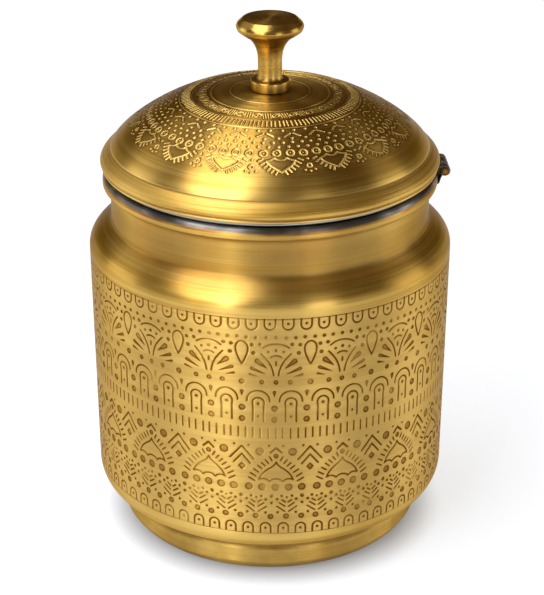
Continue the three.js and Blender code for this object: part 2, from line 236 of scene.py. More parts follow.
def mesh_from_grid(name, grid, wrap, row_materials=None, values=None, sharp_rows=()):
    """A closed mesh from a grid of points in millimetres. Values are named numbers kept on the points."""
    rows, columns = grid.shape[:2]
    faces = face_corners(rows, columns, wrap)
    strips = faces.shape[0]
    faces = faces.reshape(-1, 4)
    finish = np.repeat(np.zeros(strips, int) if row_materials is None else row_materials, columns)
    points = grid.reshape(-1, 3)
    stand_for = np.arange(len(points))
    for row in () if wrap else (0, rows - 1):
        stand_for[row * columns:(row + 1) * columns] = row * columns
    faces = stand_for[faces]
    a, b, c, d = (points[faces[:, i]] for i in range(4))
    volume = np.einsum("ij,ij->", a, np.cross(b, c)) + np.einsum("ij,ij->", a, np.cross(c, d))
    if volume < 0:
        faces = faces[:, ::-1]
    keep = (faces != np.roll(faces, 1, axis=1))
    used = np.unique(faces)
    number = np.zeros(len(points), int)
    number[used] = np.arange(len(used))
    sizes = keep.sum(axis=1)
    mesh = bpy.data.meshes.new(name)
    mesh.vertices.add(len(used))
    mesh.vertices.foreach_set("co", (points[used] * MM).astype(np.float32).ravel())
    mesh.loops.add(int(sizes.sum()))
    mesh.loops.foreach_set("vertex_index", number[faces[keep]].astype(np.int32))
    mesh.polygons.add(len(faces))
    mesh.polygons.foreach_set("loop_start", np.concatenate([[0], np.cumsum(sizes)[:-1]]).astype(np.int32))
    mesh.polygons.foreach_set("material_index", finish.astype(np.int32))
    mesh.update(calc_edges=True)
    mesh.shade_smooth()
    for label, numbers in (values or {}).items():
        held = mesh.attributes.new(label, "FLOAT", "POINT")
        held.data.foreach_set("value", numbers.ravel()[used].astype(np.float32))
    if len(sharp_rows):
        ends = np.zeros(len(mesh.edges) * 2, np.int32)
        mesh.edges.foreach_get("vertices", ends)
        row_of = (used // columns)[ends.reshape(-1, 2)]
        sharp = (row_of[:, 0] == row_of[:, 1]) & np.isin(row_of[:, 0], sharp_rows)
        mesh.attributes.new("sharp_edge", "BOOLEAN", "EDGE").data.foreach_set("value", sharp)
    return mesh


def corner_rows(outline, wrap):
    """Rows of an outline where it turns by more than the sharp angle."""
    before = outline - np.roll(outline, 1, axis=0)
    after = np.roll(outline, -1, axis=0) - outline
    turn = np.abs(np.arctan2(
        before[:, 0] * after[:, 1] - before[:, 1] * after[:, 0], (before * after).sum(axis=1)))
    rows = np.nonzero(turn > SHARP_TURN)[0]
    return rows if wrap else rows[(rows > 0) & (rows < len(outline) - 1)]


def around(outline, segments):
    """Carries an outline of radius and height round: x and y are the radius times cosine and sine."""
    angle = front + np.arange(segments) * 2 * math.pi / segments
    radius, height = outline[:, 0, None], outline[:, 1, None]
    return np.stack([radius * np.cos(angle), radius * np.sin(angle), height + 0 * angle], axis=-1)


def shown(name, mesh, body, replaced, slot, finishes):
    """Puts a mesh in the scene as a piece that rides on a body, stands for its nodes and has its finishes."""
    piece = bpy.data.objects.new(name, mesh)
    bpy.context.scene.collection.objects.link(piece)
    for finish in finishes:
        mesh.materials.append(finish)
    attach(piece, body)
    if replaced:
        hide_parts(*replaced)
    mesh.calc_loop_triangles()
    print("%-16s %7d triangles" % (name, len(mesh.loop_triangles)))
    return piece


def painted_shade_along(outline, places):
    """How much painted shade each point of an outline gets, from 0 to 1, as darkening in creases, at joints
    and under overhangs. A place is a point, a reach and an amount, which falls off with the distance as a
    bell curve. The strongest place counts."""
    out = np.zeros(len(outline))
    for radius, height, reach, amount in places:
        away = np.hypot(outline[:, 0] - radius, outline[:, 1] - height)
        out = np.maximum(out, amount * np.exp(-(away / reach) ** 2))
    return out


def turned(name, outline, segments, finish_rows=(), painted_shade=(), coat=None, **piece):
    """A turned piece from a closed outline. Each entry of finish_rows gives a first row, the row after the
    last and the number of their finish. The painted_shade places are darkened as painted shade, and coat
    gives how far the tin covers each point of the outline."""
    wrap = outline[0, 0] > ON_AXIS
    rows = np.zeros(len(outline) if wrap else len(outline) - 1, int)
    for first, after, number in finish_rows:
        rows[first:after] = number
    values = {"painted_shade": np.repeat(painted_shade_along(outline, painted_shade), segments)}
    if coat is not None:
        values["coat"] = np.repeat(coat, segments)
    grid = around(outline, segments)
    mesh = mesh_from_grid(name, grid, wrap, rows, values, corner_rows(outline, wrap))
    return shown(name, mesh, **piece)


# %% [markdown]
# ## Node helpers
# Materials are node trees. Small helpers keep them readable: one adds a node, others do sums, smooth steps,
# noise and mixing, and the last makes an empty group.

# %% Node helpers
def add(tree, kind, inputs=(), **settings):
    """Adds a node, sets its settings, and fills its inputs with values or with other nodes' outputs."""
    node = tree.nodes.new(kind)
    for key, value in settings.items():
        setattr(node, key, value)
    for key, value in dict(inputs).items():
        if isinstance(value, bpy.types.NodeSocket):
            tree.links.new(value, node.inputs[key])
        else:
            node.inputs[key].default_value = value
    return node


def calc(tree, operation, *values):
    """A Math node's result."""
    return add(tree, "ShaderNodeMath", enumerate(values), operation=operation).outputs[0]


def times(tree, product, *values):
    """The product of several values."""
    for value in values:
        product = calc(tree, "MULTIPLY", product, value)
    return product


def plus(tree, total, *values):
    """The sum of several values."""
    for value in values:
        total = calc(tree, "ADD", total, value)
    return total


def ramp(tree, value, low, high, to_low=0.0, to_high=1.0):
    """A smooth step of a value from low to high, as to_low to to_high."""
    limits = {"From Min": low, "From Max": high, "To Min": to_low, "To Max": to_high}
    node = add(tree, "ShaderNodeMapRange", {"Value": value, **limits}, interpolation_type="SMOOTHSTEP")
    return node.outputs["Result"]


def blend(tree, share, first, second):
    """Mixes two colours by a share from 0 to 1."""
    return add(tree, "ShaderNodeMix", {0: share, 6: first, 7: second}, data_type="RGBA").outputs[2]


def noise(tree, vector, scale, detail=2.0, roughness=0.5, w=None):
    """A noise value. With w it is four-dimensional."""
    inputs = {"Vector": vector, "Scale": scale, "Detail": detail, "Roughness": roughness}
    if w is None:
        return add(tree, "ShaderNodeTexNoise", inputs).outputs["Fac"]
    return add(tree, "ShaderNodeTexNoise", {**inputs, "W": w}, noise_dimensions="4D").outputs["Fac"]


def patches(tree, place, scale, detail, *step):
    """Soft patches: a noise value through a smooth step."""
    return ramp(tree, noise(tree, place, scale, detail), *step)


def value_on_points(tree, name):
    """A number that the mesh keeps on its points."""
    return add(tree, "ShaderNodeAttribute", attribute_name=name).outputs["Fac"]


def group(name, inputs, outputs):
    """An empty node group with named sockets, and its input and output nodes."""
    tree = bpy.data.node_groups.new(name, "ShaderNodeTree")
    for label, default in inputs.items():
        socket = tree.interface.new_socket(label, in_out="INPUT", socket_type="NodeSocketFloat")
        socket.default_value = default
    for label, kind in outputs.items():
        tree.interface.new_socket(label, in_out="OUTPUT", socket_type=kind)
    return tree, tree.nodes.new("NodeGroupInput").outputs, tree.nodes.new("NodeGroupOutput").inputs


# %% [markdown]
# ## Brush lines
# Spun brass is finished on the lathe with abrasive, which leaves fine lines round the piece. Their noise is
# read in four dimensions: the direction from the axis, which changes slowly, and the height and the radius,
# which change fast. It has no seam, because a direction comes back to itself.

# %% Brush lines as a node group
BAND_FINENESS, BAND_REACH, BAND_DEPTH = 0.16, 0.6, 0.9  # the broad bands, as shares of the lines
LINE_DETAIL, LINE_CRISPNESS, BAND_CRISPNESS = 3.0, 0.65, 0.6
LINE_HEIGHT = 0.00004  # metres
AXIS_CLEAR = 1e-5  # keeps a division from failing on the axis, in metres

brush_lines, given, result = group(
    "brush_lines",
    {"Fineness": 2600.0, "Reach": 0.9, "Depth": 0.3},
    {"Lines": "NodeSocketFloat", "Bands": "NodeSocketFloat", "Normal": "NodeSocketVector"},
)
place = add(brush_lines, "ShaderNodeTexCoord").outputs["Object"]
xyz = add(brush_lines, "ShaderNodeSeparateXYZ", {0: place}).outputs
squares = [times(brush_lines, xyz[i], xyz[i]) for i in (0, 1)]
radius = calc(brush_lines, "SQRT", plus(brush_lines, *squares))
safe_radius = calc(brush_lines, "MAXIMUM", radius, AXIS_CLEAR)
direction = [calc(brush_lines, "DIVIDE", xyz[i], safe_radius) for i in (0, 1)]


def lathe_place(fineness, reach):
    """The place for a noise: direction times reach, height times fineness, and the radius as w."""
    across = [times(brush_lines, share, reach) for share in direction]
    up = times(brush_lines, xyz[2], fineness)
    vector = add(brush_lines, "ShaderNodeCombineXYZ", {0: across[0], 1: across[1], 2: up}).outputs[0]
    return vector, times(brush_lines, radius, fineness)


vector, w = lathe_place(given["Fineness"], given["Reach"])
lines = noise(brush_lines, vector, 1.0, LINE_DETAIL, LINE_CRISPNESS, w)
vector, w = lathe_place(times(brush_lines, given["Fineness"], BAND_FINENESS),
                        times(brush_lines, given["Reach"], BAND_REACH))
bands = noise(brush_lines, vector, 1.0, LINE_DETAIL, BAND_CRISPNESS, w)
both = plus(brush_lines, lines, times(brush_lines, bands, BAND_DEPTH))
relief = {"Height": both, "Strength": given["Depth"], "Distance": LINE_HEIGHT}
bump = add(brush_lines, "ShaderNodeBump", relief)
for label, socket in (("Lines", lines), ("Bands", bands), ("Normal", bump.outputs[0])):
    brush_lines.links.new(socket, result[label])
print("group", brush_lines.name, "with", len(brush_lines.nodes), "nodes")

# %% [markdown]
# ## Tone of old brass
# Lacquered brass is never one colour. Broad clouds of warmer and paler metal are mixed with the brush
# lines, and small dull spots sit on top. The group puts out a colour and a mask of the dull spots.

# %% Brass tone as a node group
PALE_BRASS = (0.69, 0.46, 0.115, 1)
WARM_BRASS = (0.475, 0.275, 0.045, 1)
DEEP_BRASS = (0.255, 0.13, 0.014, 1)
CLOUD_SHARE, BAND_SHARE, LINE_SHARE = 0.36, 0.42, 0.32
MIXED_MIDDLE, MIXED_SPREAD = 0.55, 4.0
DULL_SPOTS = (1100.0, 2.0, 0.66, 0.78)
SPOT_SHARE = 0.14

brass_tone, given, result = group(
    "brass_tone",
    {"Lines": 0.5, "Bands": 0.5, "Cloud Size": 26.0, "Contrast": 1.0},
    {"Color": "NodeSocketColor", "Spots": "NodeSocketFloat"},
)
place = add(brass_tone, "ShaderNodeTexCoord").outputs["Object"]
clouds = noise(brass_tone, place, given["Cloud Size"], 3.0)
brushed = plus(brass_tone, times(brass_tone, given["Bands"], BAND_SHARE),
               times(brass_tone, given["Lines"], LINE_SHARE))
mixed = plus(brass_tone, times(brass_tone, clouds, CLOUD_SHARE), brushed)
off_middle = calc(brass_tone, "SUBTRACT", mixed, MIXED_MIDDLE)
strength = times(brass_tone, given["Contrast"], MIXED_SPREAD)
share = plus(brass_tone, 0.5, times(brass_tone, off_middle, strength))
tone = blend(brass_tone, ramp(brass_tone, share, 0.0, 1.0), WARM_BRASS, PALE_BRASS)
spots = patches(brass_tone, place, *DULL_SPOTS)
tone = blend(brass_tone, times(brass_tone, spots, SPOT_SHARE), tone, DEEP_BRASS)
brass_tone.links.new(tone, result["Color"])
brass_tone.links.new(spots, result["Spots"])
print("group", brass_tone.name, "with", len(brass_tone.nodes), "nodes")

# %% [markdown]
# ## Metal under lacquer
# Every metal here starts the same way: a metallic shader, the brush lines as a fine relief, and the place
# of each point. Brass then gets a thin lacquer, and a brown tint at grazing angles, as tarnished metal has.

# %% A new metal
LACQUER, LACQUER_ROUGHNESS = 0.17, 0.25
TARNISHED_EDGE = (0.58, 0.46, 0.32, 1)
ACROSS_THE_LINES = 0.25  # turns, from along the brush lines to across them


def metal(name, fineness, depth):
    """A new metallic material with brush lines, its node tree, its shader, its brush lines and its place."""
    material = bpy.data.materials.new(name)
    material.use_nodes = True
    tree = material.node_tree
    shader = tree.nodes["Principled BSDF"]
    shader.inputs["Metallic"].default_value = 1.0
    brushed = add(tree, "ShaderNodeGroup", node_tree=brush_lines)
    brushed.inputs["Fineness"].default_value = fineness
    brushed.inputs["Depth"].default_value = depth
    tree.links.new(brushed.outputs["Normal"], shader.inputs["Normal"])
    place = add(tree, "ShaderNodeTexCoord").outputs["Object"]
    return material, tree, shader, brushed.outputs, place


# %% [markdown]
# ## Marks in the brass
# On the ornament a value on each point says how far it is from the nearest mark, in millimetres. The shader
# turns that distance into a sharp edge, which stays crisp however coarse the grid is. Pressed marks on the
# wall hold a brown oxide. Chased marks on the dome show bright cut metal inside a thin dark line, which is
# oxide and painted shade of the groove's edge, on a darker ground.

# %% Stain and frost
# Oxide brown: the real oxide in the pressed marks, and also the colour of the painted shade in creases and
# round chased marks
OXIDE_AND_SHADE = (0.175, 0.070, 0.003, 1)
OXIDE_WORN = (0.42, 0.19, 0.018, 1)
CUT_BRASS = (0.92, 0.68, 0.22, 1)
GROUND = (0.40, 0.215, 0.035, 1)
# Smooth steps of the distance to a mark: where one starts and ends, and its values there if not 0 and 1
STAIN_EDGE = (0.07, -0.07)
STAIN_THIN = (-0.55, -0.22, 0.45, 1.0)
HALO = (0.55, 0.0)
FROST_GROUND = (1.3, 0.3, 0.0, 0.75)
OUTLINE_OUTSIDE, OUTLINE_INSIDE = (0.40, 0.16), (0.0, 0.14)
CUT_EDGE = (0.10, -0.06)
# Patches: scale, detail, and a smooth step
WORN_PATCHES = (95.0, 2.0, 0.40, 0.72, 1.0, 0.35)
GROUND_MOTTLE = (700.0, 3.0, 0.35, 0.65, 0.45, 1.0)
HALO_SHARE, WORN_SHARE, OUTLINE_SHARE = 0.16, 1.5, 0.6
MARK_ROUGHER = 0.3


def stained(tree, shader, place, color, rough, stain):
    """Oxide in pressed marks: thinner in the middle of a wide mark and in worn patches, with a faint halo
    round the mark. The lacquer has gone where the oxide is."""
    distance = value_on_points(tree, "mark")
    inside = ramp(tree, distance, *STAIN_EDGE)
    thin = ramp(tree, distance, *STAIN_THIN)
    worn = patches(tree, place, *WORN_PATCHES)
    dark = times(tree, inside, thin, times(tree, worn, stain))
    halo = times(tree, ramp(tree, distance, *HALO), HALO_SHARE * stain)
    color = blend(tree, halo, color, OXIDE_WORN)
    color = blend(tree, calc(tree, "MINIMUM", times(tree, dark, WORN_SHARE), 1.0), color, OXIDE_WORN)
    color = blend(tree, dark, color, OXIDE_AND_SHADE)
    bare = calc(tree, "SUBTRACT", 1.0, dark)
    tree.links.new(times(tree, bare, LACQUER), shader.inputs["Coat Weight"])
    return color, plus(tree, rough, times(tree, dark, MARK_ROUGHER))


def frosted(tree, place, color, rough, frost):
    """Chased marks: bright cut metal with a thin dark line round it, which is oxide and painted shade of the
    groove's edge, on a mottled darker ground.
    """
    distance = value_on_points(tree, "mark")
    ground = times(tree, ramp(tree, distance, *FROST_GROUND), patches(tree, place, *GROUND_MOTTLE))
    color = blend(tree, ground, color, GROUND)
    # The thin dark line round each mark: oxide and painted shade of the groove's edge
    outlined = times(tree, ramp(tree, distance, *OUTLINE_OUTSIDE), ramp(tree, distance, *OUTLINE_INSIDE))
    color = blend(tree, times(tree, outlined, OUTLINE_SHARE), color, OXIDE_AND_SHADE)
    cut = ramp(tree, distance, *CUT_EDGE, 0.0, frost)
    color = blend(tree, cut, color, CUT_BRASS)
    return color, plus(tree, rough, times(tree, cut, MARK_ROUGHER))


# %% [markdown]
# ## Tin over the lip
# Pots for food are coated inside with tin, which is wiped on hot. It is grey and a little streaky, it
# reaches over the lip, and at the lip's outer edge it thins out in an uneven brown line. A value on each
# point says how far the tin covers it.

# %% Tin's edge
TIN = (0.42, 0.415, 0.40, 1)
TIN_DULL = (0.34, 0.335, 0.325, 1)
TIN_DARK = (0.10, 0.098, 0.095, 1)
TIN_BROWN = (0.20, 0.115, 0.045, 1)
RUST = (0.36, 0.125, 0.020, 1)
RUST_PATCHES = (40.0, 3.0, 0.40, 0.60, 0.25, 1.0)
TIN_PATCHES = (70.0, 2.0, 0.40, 0.75)
EDGE_WAVE_SCALE, EDGE_WAVE = 45.0, 0.5
RUST_STEP, TIN_STEP = (-0.05, 0.25), (0.45, 0.85)


def tinned(tree, place, color):
    """Tin where the coat value is 1, with a wavy brown line where it ends."""
    wavy = calc(tree, "SUBTRACT", noise(tree, place, EDGE_WAVE_SCALE, 2.0), 0.5)
    level = plus(tree, value_on_points(tree, "coat"), times(tree, wavy, EDGE_WAVE))
    rust = times(tree, ramp(tree, level, *RUST_STEP), patches(tree, place, *RUST_PATCHES))
    color = blend(tree, rust, color, RUST)
    grey = blend(tree, patches(tree, place, *TIN_PATCHES), TIN_DARK, TIN_DULL)
    return blend(tree, ramp(tree, level, *TIN_STEP), color, grey)


# %% [markdown]
# ## Brass finishes
# Each brass material places the two groups with its own values. The metal's tangent runs round the axis, so
# its highlights stretch across the brush lines, as on a real lathe finish. A painted shade darkens the metal
# where the mesh says, in creases, at joints, under overhangs and broadly over the neck.

# %% Brass materials
# A paler brass: the wall's lighter tone, and on the lid's bead and crease a painted highlight
PALE_TONE_AND_HIGHLIGHT = (0.80, 0.58, 0.21, 1)
AGE_PATCHES = (140.0, 3.0, 0.35, 0.65)
AGE_LEAST, AGE_MOST = 0.6, 1.3
BRUSHED_STEP, SMOOTHER, ROUGHER = (0.25, 0.75), 0.05, 0.07
# Extra roughness on dull spots and where the painted shade is
SPOT_ROUGHER, PAINTED_SHADE_ROUGHER = 0.12, 0.2
# How patchy the painted shade is along the brush bands, as a smooth step
PAINTED_SHADE_STEP = (0.35, 0.65, 0.8, 1.15)


def brass(name, roughness, fineness=2600.0, depth=0.3, contrast=1.0, stretch=0.9, stain=0.0, frost=0.0,
          age=0.0, paleness=0.0, coated=False):
    """Brushed brass under lacquer. Stain is how dark the oxide in the marks is, frost how bright chased marks
    are, age how brown the whole metal has gone, and paleness how pale. The mesh's painted_shade value darkens
    it as painted shade. Coated brass has tin where its coat value is 1."""
    material, tree, shader, brushed, place = metal(name, fineness, depth)
    tone = add(tree, "ShaderNodeGroup", node_tree=brass_tone)
    tone.inputs["Contrast"].default_value = contrast
    tree.links.new(brushed["Lines"], tone.inputs["Lines"])
    tree.links.new(brushed["Bands"], tone.inputs["Bands"])
    color = tone.outputs["Color"]
    rough = ramp(tree, brushed["Lines"], *BRUSHED_STEP, roughness - SMOOTHER, roughness + ROUGHER)
    rough = plus(tree, rough, times(tree, tone.outputs["Spots"], SPOT_ROUGHER))
    if paleness:
        color = blend(tree, paleness, color, PALE_TONE_AND_HIGHLIGHT)
    if age:
        aged = patches(tree, place, *AGE_PATCHES, age * AGE_LEAST, min(age * AGE_MOST, 1.0))
        color = blend(tree, aged, color, DEEP_BRASS)
    # Painted shade: the mesh's painted_shade value, patchy along the bands, darkens the colour towards oxide
    # brown
    patchy = ramp(tree, brushed["Bands"], *PAINTED_SHADE_STEP)
    painted_shade_mask = calc(tree, "MINIMUM", times(tree, value_on_points(tree, "painted_shade"), patchy), 1.0)
    color = blend(tree, painted_shade_mask, color, OXIDE_AND_SHADE)
    rough = plus(tree, rough, times(tree, painted_shade_mask, PAINTED_SHADE_ROUGHER))
    shader.inputs["Coat Weight"].default_value = LACQUER
    shader.inputs["Coat Roughness"].default_value = LACQUER_ROUGHNESS
    if stain:
        color, rough = stained(tree, shader, place, color, rough, stain)
    if frost:
        color, rough = frosted(tree, place, color, rough, frost)
    if coated:
        color = tinned(tree, place, color)
    tree.links.new(color, shader.inputs["Base Color"])
    tree.links.new(rough, shader.inputs["Roughness"])
    shader.inputs["Specular Tint"].default_value = TARNISHED_EDGE
    shader.inputs["Anisotropic"].default_value = stretch
    shader.inputs["Anisotropic Rotation"].default_value = ACROSS_THE_LINES
    tangent = add(tree, "ShaderNodeTangent", direction_type="RADIAL", axis="Z")
    tree.links.new(tangent.outputs[0], shader.inputs["Tangent"])
    return material


brushed_brass = brass("brushed_brass", 0.36, depth=0.4, contrast=1.3)
pressed_brass = brass("pressed_brass", 0.44, depth=0.22, contrast=0.8, stretch=0.88, stain=0.82, paleness=0.22)
chased_brass = brass("chased_brass", 0.36, depth=0.22, contrast=1.2, frost=0.9)
foot_brass = brass("foot_brass", 0.38, depth=0.36, contrast=1.2, age=0.32)
knob_brass = brass("knob_brass", 0.28, fineness=3400.0, depth=0.3, stretch=0.75, age=0.35)
roll_brass = brass("roll_brass", 0.46, stretch=0.45, contrast=1.2)
# Pale brass for the lid's bead and crease: a painted highlight
painted_highlight_brass = brass("painted_highlight_brass", 0.34, stretch=0.4, paleness=0.35)
lip_brass = brass("lip_brass", 0.36, depth=0.4, contrast=1.3, coated=True)
pin_brass = brass("pin_brass", 0.34, age=0.7)
print("materials:", [m.name for m in bpy.data.materials])

# %% [markdown]
# ## Grey metals
# The tin inside the pot and under the lid has soft clouds. The hinge is soldered with tin too, so its
# leaves are grey, darker and stained brown. The screw and its washer are plated steel.

# %% Tin and steel materials
STEEL, STEEL_DULL = (0.56, 0.56, 0.55, 1), (0.34, 0.34, 0.33, 1)
GREY_FINENESS, GREY_DEPTH = 1500.0, 0.15
GREY_STEP, BANDS_IN_GREY = (0.45, 0.85), 0.3
CLOUD_STEP, CLOUD_SMOOTHER, CLOUD_ROUGHER = (0.3, 0.7), 0.06, 0.1
BROWN_SCALE, BROWN_STEP = 2.4, (0.52, 0.66)


def grey_metal(name, pale, dull, roughness, cloud_size, brown=0.0):
    """A dull grey metal with streaky clouds and, where brown is above zero, brown stains."""
    material, tree, shader, brushed, place = metal(name, GREY_FINENESS, GREY_DEPTH)
    clouds = noise(tree, place, cloud_size, 4.0)
    streaky = plus(tree, clouds, times(tree, brushed["Bands"], BANDS_IN_GREY))
    color = blend(tree, ramp(tree, streaky, *GREY_STEP), dull, pale)
    if brown:
        stains = patches(tree, place, cloud_size * BROWN_SCALE, 3.0, *BROWN_STEP, 0.0, brown)
        color = blend(tree, stains, color, TIN_BROWN)
    rough = ramp(tree, clouds, *CLOUD_STEP, roughness - CLOUD_SMOOTHER, roughness + CLOUD_ROUGHER)
    tree.links.new(color, shader.inputs["Base Color"])
    tree.links.new(rough, shader.inputs["Roughness"])
    return material


tin = grey_metal("tin", TIN, TIN_DULL, 0.34, 60.0)
hinge_tin = grey_metal("hinge_tin", TIN_DULL, TIN_DARK, 0.42, 240.0, 0.85)
steel = grey_metal("steel", STEEL, STEEL_DULL, 0.3, 300.0)
print("grey metals:", tin.name, hinge_tin.name, steel.name)

# %% [markdown]
# ## Drawing marks
# The ornament is drawn with signed distances. For every point of the surface a function says how far it is
# from the nearest mark, in millimetres: above zero outside, below zero inside. Dots, strokes, petals and
# diamonds each have a short formula, and the nearest of several marks is the smallest of their distances.

# %% Marks as distances
def dot(x, y, at, radius):
    """Distance to a disc: the distance to its centre less its radius."""
    return np.hypot(x - at[0], y - at[1]) - radius


def petal(x, y, tip, end, narrow, wide):
    """Distance to a line whose half-width grows evenly from its tip to its end."""
    ax, ay = end[0] - tip[0], end[1] - tip[1]
    t = np.clip(((x - tip[0]) * ax + (y - tip[1]) * ay) / (ax * ax + ay * ay), 0, 1)
    return np.hypot(x - tip[0] - t * ax, y - tip[1] - t * ay) - (narrow + (wide - narrow) * t)


def stroke(x, y, path, half_width):
    """Distance to a line through several points."""
    return nearest(*(petal(x, y, a, b, half_width, half_width) for a, b in zip(path[:-1], path[1:])))


def diamond(x, y, at, half):
    """Distance to a diamond with the given half width and half height."""
    inside = np.abs(x - at[0]) / half[0] + np.abs(y - at[1]) / half[1] - 1
    return inside * half[0] * half[1] / math.hypot(*half)


def ring(x, y, at, radius, half_width):
    """Distance to a circle's line."""
    return np.abs(np.hypot(x - at[0], y - at[1]) - radius) - half_width


def nearest(*distances):
    """The smallest of several distances."""
    return np.minimum.reduce(distances)


def bow(radius, low, high, centre_y, steps=7):
    """Points on a circle about (0, centre_y), between two angles in degrees from straight up."""
    angle = np.radians(np.linspace(low, high, steps))
    return list(zip(radius * np.sin(angle), centre_y + radius * np.cos(angle)))


# %% [markdown]
# ## Stamps of the wall
# Each stamp is drawn in a small frame of its own: x runs round the pot from the stamp's middle, and y runs
# up from its base, both in millimetres. They are the same on both sides, so the larger ones read the size of
# x alone and draw one half.

# %% Stamps of the wall
LINE = 0.27


def cup(x, y):
    """The upper border's hanging hoop with a dot in it."""
    side = np.abs(x)
    hanging = [(1.7, 1.9), (1.7, 0)] + bow(1.7, 90, 180, 0)
    return nearest(stroke(side, y, hanging, LINE), dot(side, y, (0, 0.35), 0.45))


def small_dot(x, y):
    """One dot of the fine row under the upper border."""
    return dot(x, y, (0, 0), 0.58)


def fan(x, y):
    """A lotus fan: a canopy and a bow over two curved stems, with petals at each side, among dots."""
    side = np.abs(x)
    stem = [(4.6, 9.9), (3.5, 8.7), (2.3, 7.1), (1.5, 5.5), (1.0, 3.9), (0.75, 2.45)]
    dots = (((0, 11.15), 0.55), ((2.35, 10.6), 0.45), ((7.0, 10.1), 0.65), ((4.9, 13.15), 0.6),
            ((7.4, 12.95), 0.6), ((0, 0), 0.8), ((4.4, 0), 0.8))
    return nearest(
        stroke(side, y, bow(6.4, 0, 39, 6.95), LINE),
        stroke(side, y, bow(2.8, 0, 35, 6.5), LINE),
        stroke(side, y, [(0, 7.2), (0, 6.1)], 0.32),
        stroke(side, y, stem, LINE),
        petal(side, y, (2.75, 4.85), (5.75, 7.3), 0.1, 0.9),
        petal(side, y, (3.3, 2.9), (7.5, 4.75), 0.1, 0.6),
        petal(side, y, (5.6, 1.95), (8.1, 2.65), 0.1, 0.42),
        *(dot(side, y, at, r) for at, r in dots),
    )


def teardrop(x, y):
    """An outlined drop that points down, with a dot under it."""
    side = np.abs(x)
    drop = [(0, 14.05), (0.9, 13.75), (1.65, 12.9), (1.95, 11.8), (1.85, 10.5), (1.4, 9.0), (0.75, 7.4),
            (0, 6.05)]
    return nearest(stroke(side, y, drop, LINE), dot(side, y, (0, -0.1), 0.95))


def arch(x, y):
    """An open arch over a taller narrow one with two dots in it."""
    side = np.abs(x)
    inner = bow(1.85, 0, 90, 6.65) + [(1.68, 5.0), (1.72, 0.1)]
    return nearest(
        stroke(side, y, bow(3.6, 0, 93, 7.4), LINE),
        stroke(side, y, inner, LINE),
        dot(side, y, (0, 6.4), 0.55),
        dot(side, y, (0, 1.9), 0.42),
    )


def between_arches(x, y):
    """A small drop over two punched dots."""
    drop = petal(x, y, (0, 8.9), (0, 10.5), 0.1, 0.62)
    return nearest(drop, dot(x, y, (0, 4.8), 1.08), dot(x, y, (0, 0.8), 1.05))


def tick(x, y):
    """One upright stroke of the ticked line."""
    return stroke(x, y, [(0, -1.7), (0, 1.7)], 0.24)


def dashes(side, y, places, half_width):
    """Short strokes, each given by its middle, its angle in degrees and its half length."""
    out = []
    for cx, cy, angle, half in places:
        dx, dy = half * math.cos(math.radians(angle)), half * math.sin(math.radians(angle))
        out.append(petal(side, y, (cx - dx, cy - dy), (cx + dx, cy + dy), half_width, half_width))
    return nearest(*out)


def canopy(x, y):
    """A pointed canopy with a scalloped base, radial dashes round it, a cap and dots over it."""
    side = np.abs(x)
    roof = [(0, 6.5), (0.55, 5.45), (1.5, 4.6), (2.6, 3.85), (3.6, 3.0), (4.6, 1.8), (5.2, 0.7), (5.45, 0)]
    hem = [(5.45, 0.05), (4.6, 0.35), (3.7, 0.4), (2.9, 0.1), (2.1, -0.6), (1.4, 0.05), (0.7, 0.3), (0, 0.4)]
    rays = ((1.75, 7.75, 62, 0.75), (2.95, 6.65, 52, 0.75), (4.1, 5.65, 45, 0.8), (5.2, 4.6, 40, 0.85),
            (6.35, 3.25, 35, 0.95), (7.35, 1.75, 32, 1.0), (7.8, 0.1, 30, 1.1))
    dots = (((0, 8.7), 0.85), ((5.2, 10.2), 1.42), ((8.65, 12.4), 0.42), ((2.2, 12.4), 0.38))
    return nearest(
        stroke(side, y, roof, LINE),
        stroke(side, y, hem, LINE),
        dashes(side, y, rays, LINE),
        stroke(side, y, [(0, 11.6), (1.75, 9.95)], 0.36),
        *(dot(side, y, at, r) for at, r in dots),
    )


def chevrons(x, y):
    """Two nested roof lines over a diamond."""
    side = np.abs(x)
    return nearest(
        stroke(side, y, [(0, 11.8), (3.9, 7.2)], 0.3),
        stroke(side, y, [(0, 8.9), (2.7, 5.6)], 0.3),
        diamond(side, y, (0, 4.5), (1.3, 1.4)),
    )


def five_dots(x, y):
    """Five dots in a line, under each canopy."""
    side = np.abs(x)
    return nearest(*(dot(side, y, (step * 4.25, 0), 1.28) for step in range(3)))


def vee(x, y):
    """Three pairs of slanted dashes among small dots."""
    side = np.abs(x)
    slants = (((0.45, 3.5), (1.55, 4.3)), ((0.6, 1.95), (2.4, 3.25)), ((0.65, 0.05), (3.2, 1.95)))
    dots = (((4.95, 5.8), 0.66), ((1.65, 5.8), 0.48), ((0, 5.3), 0.36), ((3.05, 4.6), 0.5),
            ((4.95, 3.3), 0.5), ((2.95, -0.3), 0.46))
    lines = (stroke(side, y, path, 0.26) for path in slants)
    return nearest(*lines, *(dot(side, y, at, r) for at, r in dots))


def medium_dot(x, y):
    """One dot of the row over the lower border."""
    return dot(x, y, (0, 0), 1.0)


def hoop(x, y):
    """The lower border's standing hoop with a dot in it."""
    side = np.abs(x)
    standing = bow(1.65, 0, 90, 0) + [(1.65, -1.9)]
    return nearest(stroke(side, y, standing, LINE), dot(side, y, (0, -0.25), 0.46))


# %% [markdown]
# ## Rows of stamps
# A row repeats one stamp round the pot. The smith spaced the stamps by eye, so the count per turn that the
# front shows isn't quite the whole number that closes the circle: the spacing drifts a little with the sine
# of the angle. Each stamp is also shifted by a few hundredths of a millimetre. The rows lean slightly, as a
# strip does that was rolled in by hand.

# %% Rows of stamps
FAR = 3.0  # beyond this the distance to a mark doesn't matter
HAND = 0.07  # how far a stamp strays from its place


